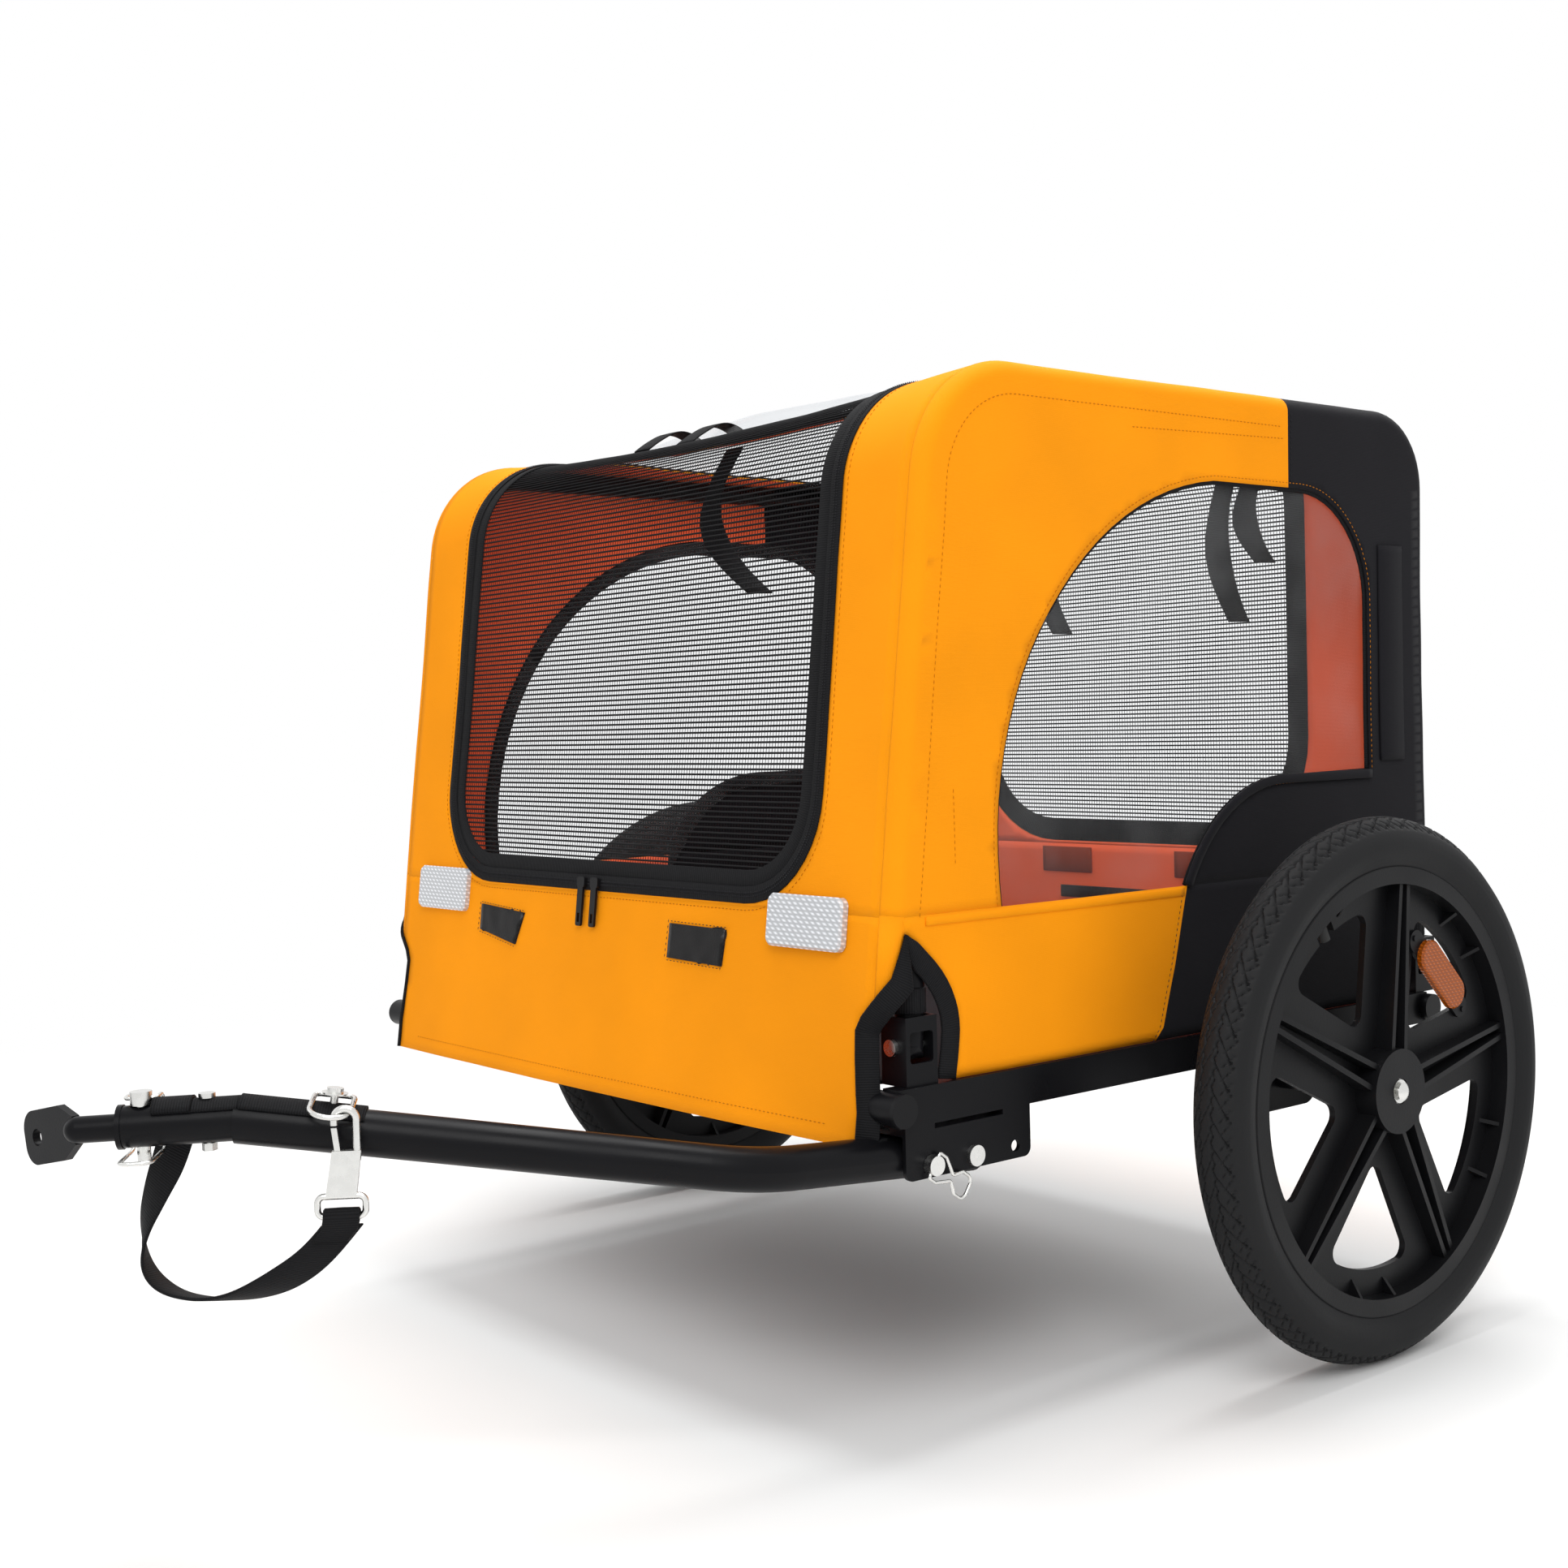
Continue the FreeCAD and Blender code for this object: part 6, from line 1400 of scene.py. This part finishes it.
def seam_lines():
    # Sewing that shows: hem, sill, edges of the door and of the side
    hem = along([(-HEM_STITCH_HALF, HEM_STITCH_S), (HEM_STITCH_HALF, HEM_STITCH_S)], on_wrap, STITCH_LIFT)
    stitches("front_hem_stitches", [hem])
    folds(stitches("door_edge_stitches", [along(door_edge(DOOR_STITCH_OUT), on_wrap, STITCH_LIFT)]))
    marks = [s for s in profile_marks() if s < BLACK_S]
    sill = [(y, SILL_Z - SEAM_BESIDE) for y in (WINDOW_FRONT - SILL_TAPE_FRONT, ARCH_FOOT - SEAM_BESIDE)]
    split = [(y - SEAM_BESIDE, z) for y, z in zip(SPLIT_YS, SPLIT_ZS)]
    top = [(BLACK_TOP_Y + SEAM_BESIDE, z) for z in (WINDOW_CROWN_Z + CROWN_GAP, TOP_Z - ROUND)]
    post = [(POST_STRIP_Y, z) for z in POST_STRIP_ZS]
    for name, side in SIDES:
        place = side_place(side)

        def sewn(line, lift=STITCH_LIFT):
            return along(behind_axle(line), place, lift)

        seam = [place(*inset(s, ROUND + SIDE_STITCH_IN), STITCH_LIFT) for s in marks]
        folds(stitches(name + "_side_stitches", [seam]))
        tape(name + "_sill_seam", sewn(sill, SILL_TAPE_LIFT), SILL_TAPE, "orange_cloth")
        folds(stitches(name + "_short_stitches", [sewn(line) for line in SHORT_SEAMS]))
        stitches(name + "_split_stitches", [sewn(split)], "black_thread")
        folds(stitches(name + "_post_stitches", [sewn(top)], "black_thread"))
        folds(tape(name + "_post_strip", sewn(post, POST_STRIP_LIFT), POST_STRIP, "black_cloth"))


def front_tabs():
    def place(x, s):
        return on_wrap(x, s, TAB_LIFT + TAB_RIPPLE * noise.noise(Vector((x, s, 0)) / TAB_RIPPLE_SIZE))

    low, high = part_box("hook_loop_tabs")
    middle = front_s((low.z + high.z) / 2)
    bottom, top = middle - TAB_TALL, middle + TAB_TALL
    sewn = []
    places = (("far_tab", low.x + TAB_HALF), ("near_tab", high.x - TAB_HALF))
    for (name, x), skew in zip(places, TAB_SKEWS):
        rise, fall = (skew * share for share in TAB_SKEW_SHARES)
        far, near = x - TAB_HALF, x + TAB_HALF
        loop = [(far, bottom + rise), (near - skew, bottom - fall), (near, top - fall), (far, top)]
        tab = cloth(name, fill(loop, step=TAB_STEP), place, "black_pile", "black_pile", TAB)
        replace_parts(tab, "hook_loop_tabs")
        declare(loop, ())
        sewn.append(along(offset_line(loop + loop[:1], -TAB_STITCH_OUT), on_wrap, TAB_STITCH_LIFT))
    stitches("tab_stitches", sewn, "black_thread")


def hanging_tie(name, x, y, top, length, sway, curl):
    # A short webbing tail that hangs with a twist in it
    path, across = [], []
    for index in range(TIE_STEPS + 1):
        share = index / TIE_STEPS
        beside = sway * (share ** TIE_SWAY_POWER - TIE_BOW_SHARE * math.sin(math.pi * share))
        behind = curl * math.sin(math.pi * share * TIE_CURL_SHARE)
        turn = math.radians(math.copysign(TIE_TWIST, sway)) * smooth_step(share, *TIE_TWIST_SHARES)
        path.append((Vector((x + beside, y + behind, top - length * share)), UP))
        across.append(Vector((math.cos(turn), math.sin(turn), 0)))
    tie = tape(name, path, TIE, across=across)
    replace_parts(folds(tie), "tie_straps")


def ties():
    low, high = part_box("tie_straps")
    for name, x, within_end, drop, length, sway, curl in TIES:
        y = low.y + within_end if name.startswith("front") else high.y - within_end
        hanging_tie(name, x, y, TOP_Z - drop, length, sway, curl)
    for name, x in ROOF_LOOPS:
        path = []
        for index in range(ROOF_LOOP_STEPS + 1):
            share = index / ROOF_LOOP_STEPS
            point, out = on_wrap(x, FRONT_SEAM_S - ROOF_LOOP_AHEAD + ROOF_LOOP_RUN * share)
            path.append((point + UP * (ROOF_LOOP_LIFT + ROOF_LOOP_RISE * math.sin(math.pi * share)), out))
        loop = folds(tape(name + "_roof_loop", path, TIE))


# Webbing on the drawbar and the hoops

def tube_band(name, way, radius, first, last, low_turn, high_turn):
    # Webbing laid round part of a tube that starts at the drawbar's elbow
    top = (UP - way * way.z).normalized()
    side = way.cross(top)
    points, flat, faces, outs = [], [], [], []
    columns = WEBBING_COLUMNS
    stations = max(2, int((last - first) / WEBBING_STEP))
    for row in range(stations + 1):
        run = first + (last - first) * row / stations
        for column in range(columns):
            turn = math.radians(low_turn + (high_turn - low_turn) * column / (columns - 1))
            outs.append(top * math.cos(turn) + side * math.sin(turn))
            points.append(ELBOW + way * run + outs[-1] * (radius + WEBBING_LIFT))
            flat.append((run, radius * turn))
    for row in range(stations):
        for column in range(columns - 1):
            corner = row * columns + column
            faces.append((corner, corner + columns, corner + columns + 1, corner + 1))
    made = piece(name, points, facing(points, faces, outs), ["black_webbing"], "drawbar", flat)
    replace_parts(thicken(made, WEBBING), "strap_webbing")


def drawbar_webbing():
    for band in WEBBING_BANDS:
        tube_band(*band)


def post_bands():
    # Webbing round the foot of each hoop
    for name in ("left_hoop", "right_hoop"):
        low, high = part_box(name)
        x = math.copysign(SEAM_X, low.x)
        for end, y in (("front", low.y + POST_BAND_FRONT_IN), ("rear", high.y - POST_BAND_REAR_IN)):
            path = []
            for index in range(POST_BAND_STEPS + 1):
                turn = math.tau * index / POST_BAND_STEPS
                out = Vector((math.cos(turn), math.sin(turn), 0))
                path.append((Vector((x, y, POST_BAND_Z)) + out * POST_BAND_R, out))
            tape("_".join((name, end, "band")), path, POST_BAND, body=name, across=[UP] * len(path))


# Tyres

def tri_wave(value):
    return 2 * abs(2 * (value - np.floor(value + 0.5))) - 1


def groove(distance, width):
    return np.clip((width / 2 - np.abs(distance)) / GROOVE_EDGE + 0.5, 0, 1)


def grooves(phase, spacing, depth, width):
    # A groove at each whole number of phase, with the given distance from one to the next
    return depth * groove((phase - np.round(phase)) * spacing, width)


def tread(around, across):
    # Depth of the tread pattern at a length around the tyre and across it from the middle
    pitch = math.tau * TYRE_R / BLOCKS
    side, wide = np.sign(across), np.abs(across)
    lane = wide - LANE_AT - LANE_SWING * tri_wave(around / pitch * 2)
    lanes = GROOVE_DEPTH * groove(lane, LANE_WIDTH) * (wide < LANE_TO)
    phase = around / pitch + side * SLANT_STAGGER_SHARE - wide / SLANT_RUN
    slants = grooves(phase, pitch * SLANT_SHARE, GROOVE_DEPTH, SLANT_WIDTH) * (wide > SLANT_FROM)
    phase = around / pitch * 2 + wide / CROSS_RUN + CROSS_START_SHARE
    crosses = grooves(phase, pitch * CROSS_SHARE, CROSS_DEPTH, CROSS_WIDTH) * (wide > CROSS_FROM)
    phase = around / pitch + across / MIDDLE_RUN
    middles = grooves(phase, pitch * MIDDLE_SHARE, MIDDLE_DEPTH, MIDDLE_WIDTH) * (wide < MIDDLE_TO)
    return np.maximum.reduce((lanes, slants * (wide < SLANT_TO), crosses * (wide < SLANT_TO), middles))


def tyre_section():
    # Outer side as (across, radius, length from the middle), then the beads and the hollow
    edge = (TREAD_HALF, TREAD_EDGE_R)
    crown = arc((-edge[0], edge[1]), (0.0, TYRE_R), edge, 2 * CROWN_STEPS)[CROWN_STEPS:]
    half = crown + arc(edge, (TYRE_HALF, SIDEWALL_R), (LIP_HALF, LIP_R), SHOULDER_STEPS)[1:]
    lengths = np.concatenate(([0], np.cumsum([math.dist(a, b) for a, b in zip(half, half[1:])])))
    outer = [(x, r, length) for (x, r), length in zip(half, lengths)]
    hollow = [
        (BEAD_HALF, BEAD_R),
        (BEAD_HALF - TYRE_WALL, BEAD_R),
        (BEAD_HALF - TYRE_WALL, LIP_R),
        (TYRE_HALF - TYRE_WALL, SIDEWALL_R),
        (TREAD_HALF - TYRE_WALL / 2, TREAD_EDGE_R - TYRE_WALL),
        (0.0, TYRE_R - CROWN_WALL),
    ]
    side = outer + [(x, r, INSIDE) for x, r in hollow]
    return side + [(-x, r, -length) for x, r, length in side[-2:0:-1]]


def tyres():
    section = np.array(tyre_section())
    sides, count = len(section), BLOCKS * STEPS_PER_BLOCK
    turn = np.linspace(0, math.tau, count, endpoint=False)[:, None]
    beside, radius, across = section.T[:, None, :]
    depth = tread(turn * TYRE_R, across) * (np.abs(across) < TREAD_TO)
    lines = WALL_LINE_LIFT * sum(groove(np.abs(across) - mark, WALL_LINE_WIDTH) for mark in WALL_LINES)
    lean = SHOULDER_LEAN_SHARE * depth * (np.abs(across) > SHOULDER_FROM)
    sideways = beside + np.sign(beside) * (lines - lean)
    y = AXLE_Y + (radius - depth) * np.sin(turn)
    z = AXLE_Z - (radius - depth) * np.cos(turn)
    ring, here = np.arange(count)[:, None], np.arange(sides)[None, :]
    following, after = (ring + 1) % count * sides, (here + 1) % sides
    ring = ring * sides
    faces = np.stack((ring + here, ring + after, following + after, following + here), axis=2)
    faces = faces.reshape(-1, 4)
    for name, side in SIDES:
        points = np.stack((side * (WHEEL_X + sideways), y, z), axis=2).reshape(-1, 3)
        turned = faces[:, ::-1] if side > 0 else faces
        tyre = piece(name + "_tyre_tread", points.tolist(), turned.tolist(),
                     ["tyre_rubber"], name + "_wheel")
        tyre.data.set_sharp_from_angle(angle=math.radians(TREAD_SHARP))
        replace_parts(tyre, name + "_tyre")


# Hanging strap, first of the soft pieces

def smooth_line(points):
    # Points read from the route's smooth spline
    curve = bpy.data.curves.new("route", "CURVE")
    curve.dimensions = "3D"
    spline = curve.splines.new("NURBS")
    spline.points.add(len(points) - 1)
    for control, point in zip(spline.points, points):
        control.co = (*point, 1)
    spline.order_u = 3
    spline.use_endpoint_u = True
    curve.resolution_u = 8
    holder = bpy.data.objects.new("route", curve)
    bpy.context.scene.collection.objects.link(holder)
    bpy.context.view_layer.update()
    mesh = bpy.data.meshes.new_from_object(holder.evaluated_get(bpy.context.evaluated_depsgraph_get()))
    line = [vertex.co.copy() for vertex in mesh.vertices]
    bpy.data.objects.remove(holder)
    bpy.data.meshes.remove(mesh)
    return line


def hook_bar():
    # Middle and direction of the lower bar of the hook's eye
    low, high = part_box("snap_hook")
    size = high - low
    middle = Vector(((low.x + high.x) / 2, (low.y + high.y) / 2, low.z + EYE_WIRE / 2))
    return middle, Vector((size.x - EYE_WIRE, size.y - EYE_WIRE, 0)).normalized()


def strap_end(line, bar, bar_way):
    # The strap's end, turned over the hook's bar and sewn back on itself
    thick = STRAP[1]
    way = (line[-1] - line[-2]).normalized()
    layer = bar_way.cross(way).normalized() * thick
    beside = bar_way.cross(UP)
    backs = [line[-1] - way * (STRAP_TURN_BACK * share) for share in STRAP_TURN_SHARES]
    around = []
    for index in range(STRAP_TURN_STEPS + 1):
        turn = math.pi * index / STRAP_TURN_STEPS
        around.append(bar + (beside * math.cos(turn) + UP * math.sin(turn)) * (EYE_WIRE / 2 + thick))
    points = [back + layer for back in backs] + around + [back - layer for back in backs[::-1]]
    path = [(point, UP) for point in points]
    return tape("strap_end", path, (EYE_INSIDE, thick), body="drawbar", across=[bar_way] * len(path))


def safety_strap():
    line = smooth_line([(x, y + AXLE_Y, z) for x, y, z in STRAP_ROUTE])
    path = [(point, UP) for point in line]
    bar, bar_way = hook_bar()
    chord = line[-1] - line[0]
    plane = Vector((-chord.y, chord.x, 0)).normalized()
    across = []
    for index in range(len(path)):
        way = course(path, index).normalized()
        share = index / (len(path) - 1)
        twist = sum(amount * smooth_step(share, start, end) for amount, start, end in STRAP_TWISTS)
        turn = math.radians(STRAP_START_TURN + twist)
        free = (plane * math.cos(turn) + plane.cross(way) * math.sin(turn)).normalized()
        across.append(free.lerp(bar_way, smooth_step(share, *STRAP_ALIGN_SHARES)).normalized())
    strap = tape("strap_ribbon", path, STRAP, body="drawbar", across=across)
    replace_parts(strap, "safety_strap")
    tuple(line[0])
    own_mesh(strap)
    pieces = [frame["nodes"]["snap_hook"], frame["nodes"]["snap_gate"], strap_end(line, bar, bar_way)]
    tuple(line[0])


# Stage and light

SEEN_RAYS = ("Is Camera Ray", "Is Glossy Ray", "Is Transmission Ray")


def make_stage():
    mesh = bpy.data.meshes.new("floor")
    corners = rectangle(FLOOR_REACH, -FLOOR_REACH, FLOOR_REACH)
    mesh.from_pydata([(x, y, -FLOOR_LOW) for x, y in corners], [], [(0, 1, 2, 3)])
    floor = bpy.data.objects.new("floor", mesh)
    bpy.context.scene.collection.objects.link(floor)
    finish = Finish("floor_paper", FLOOR_COLOR, 0.9, Specular_IOR_Level=CLOTH_GLOSS)
    distance = finish.add("ShaderNodeVectorMath", {0: finish.place()}, operation="LENGTH").outputs["Value"]
    light = finish.add("ShaderNodeLightPath")
    seen = light.outputs[SEEN_RAYS[0]]
    for ray in SEEN_RAYS[1:]:
        seen = finish.math("MAXIMUM", seen, light.outputs[ray])
    white = finish.add("ShaderNodeEmission", {"Color": (1, 1, 1, 1), "Strength": 1.0})
    far = finish.ramp(distance, 0.0, 1.0, *FLOOR_FADE)
    finish.surface(finish.math("MULTIPLY", far, seen), finish.shader, white)
    mesh.materials.append(finish.material)


def make_world():
    # White where it is seen, and a plain level as light
    world = bpy.data.worlds.new("studio")
    bpy.context.scene.world = world
    world.use_nodes = True
    tree = world.node_tree
    background = tree.nodes["Background"]
    background.inputs["Color"].default_value = (1, 1, 1, 1)
    path = tree.nodes.new("ShaderNodeLightPath")
    seen = path.outputs[SEEN_RAYS[0]]
    for ray in SEEN_RAYS[1:]:
        either = tree.nodes.new("ShaderNodeMath")
        either.operation = "MAXIMUM"
        tree.links.new(seen, either.inputs[0])
        tree.links.new(path.outputs[ray], either.inputs[1])
        seen = either.outputs[0]
    level = tree.nodes.new("ShaderNodeMapRange")
    level.inputs["To Min"].default_value = WORLD_LEVEL
    tree.links.new(seen, level.inputs["Value"])
    tree.links.new(level.outputs["Result"], background.inputs["Strength"])


def make_lamps():
    for name, at, size, power in LAMPS:
        lamp = bpy.data.lights.new(name, "AREA")
        lamp.size = size
        lamp.energy = power
        holder = bpy.data.objects.new(name, lamp)
        aim = LAMP_AIM - Vector(at)
        holder.matrix_world = Matrix.Translation(at) @ aim.to_track_quat("-Z", "Y").to_matrix().to_4x4()
        bpy.context.scene.collection.objects.link(holder)


bpy.context.scene.view_settings.view_transform = "Standard"
make_camera()
safety_strap()
finish_frame()
front_panels()
door_zip()
front_door()
side_panels()
side_windows()
roof()
rear_panels()
rear_lining()
floor_cloth()
corner_bindings()
seam_lines()
front_tabs()
ties()
drawbar_webbing()
post_bands()
tyres()
make_stage()
make_world()
make_lamps()
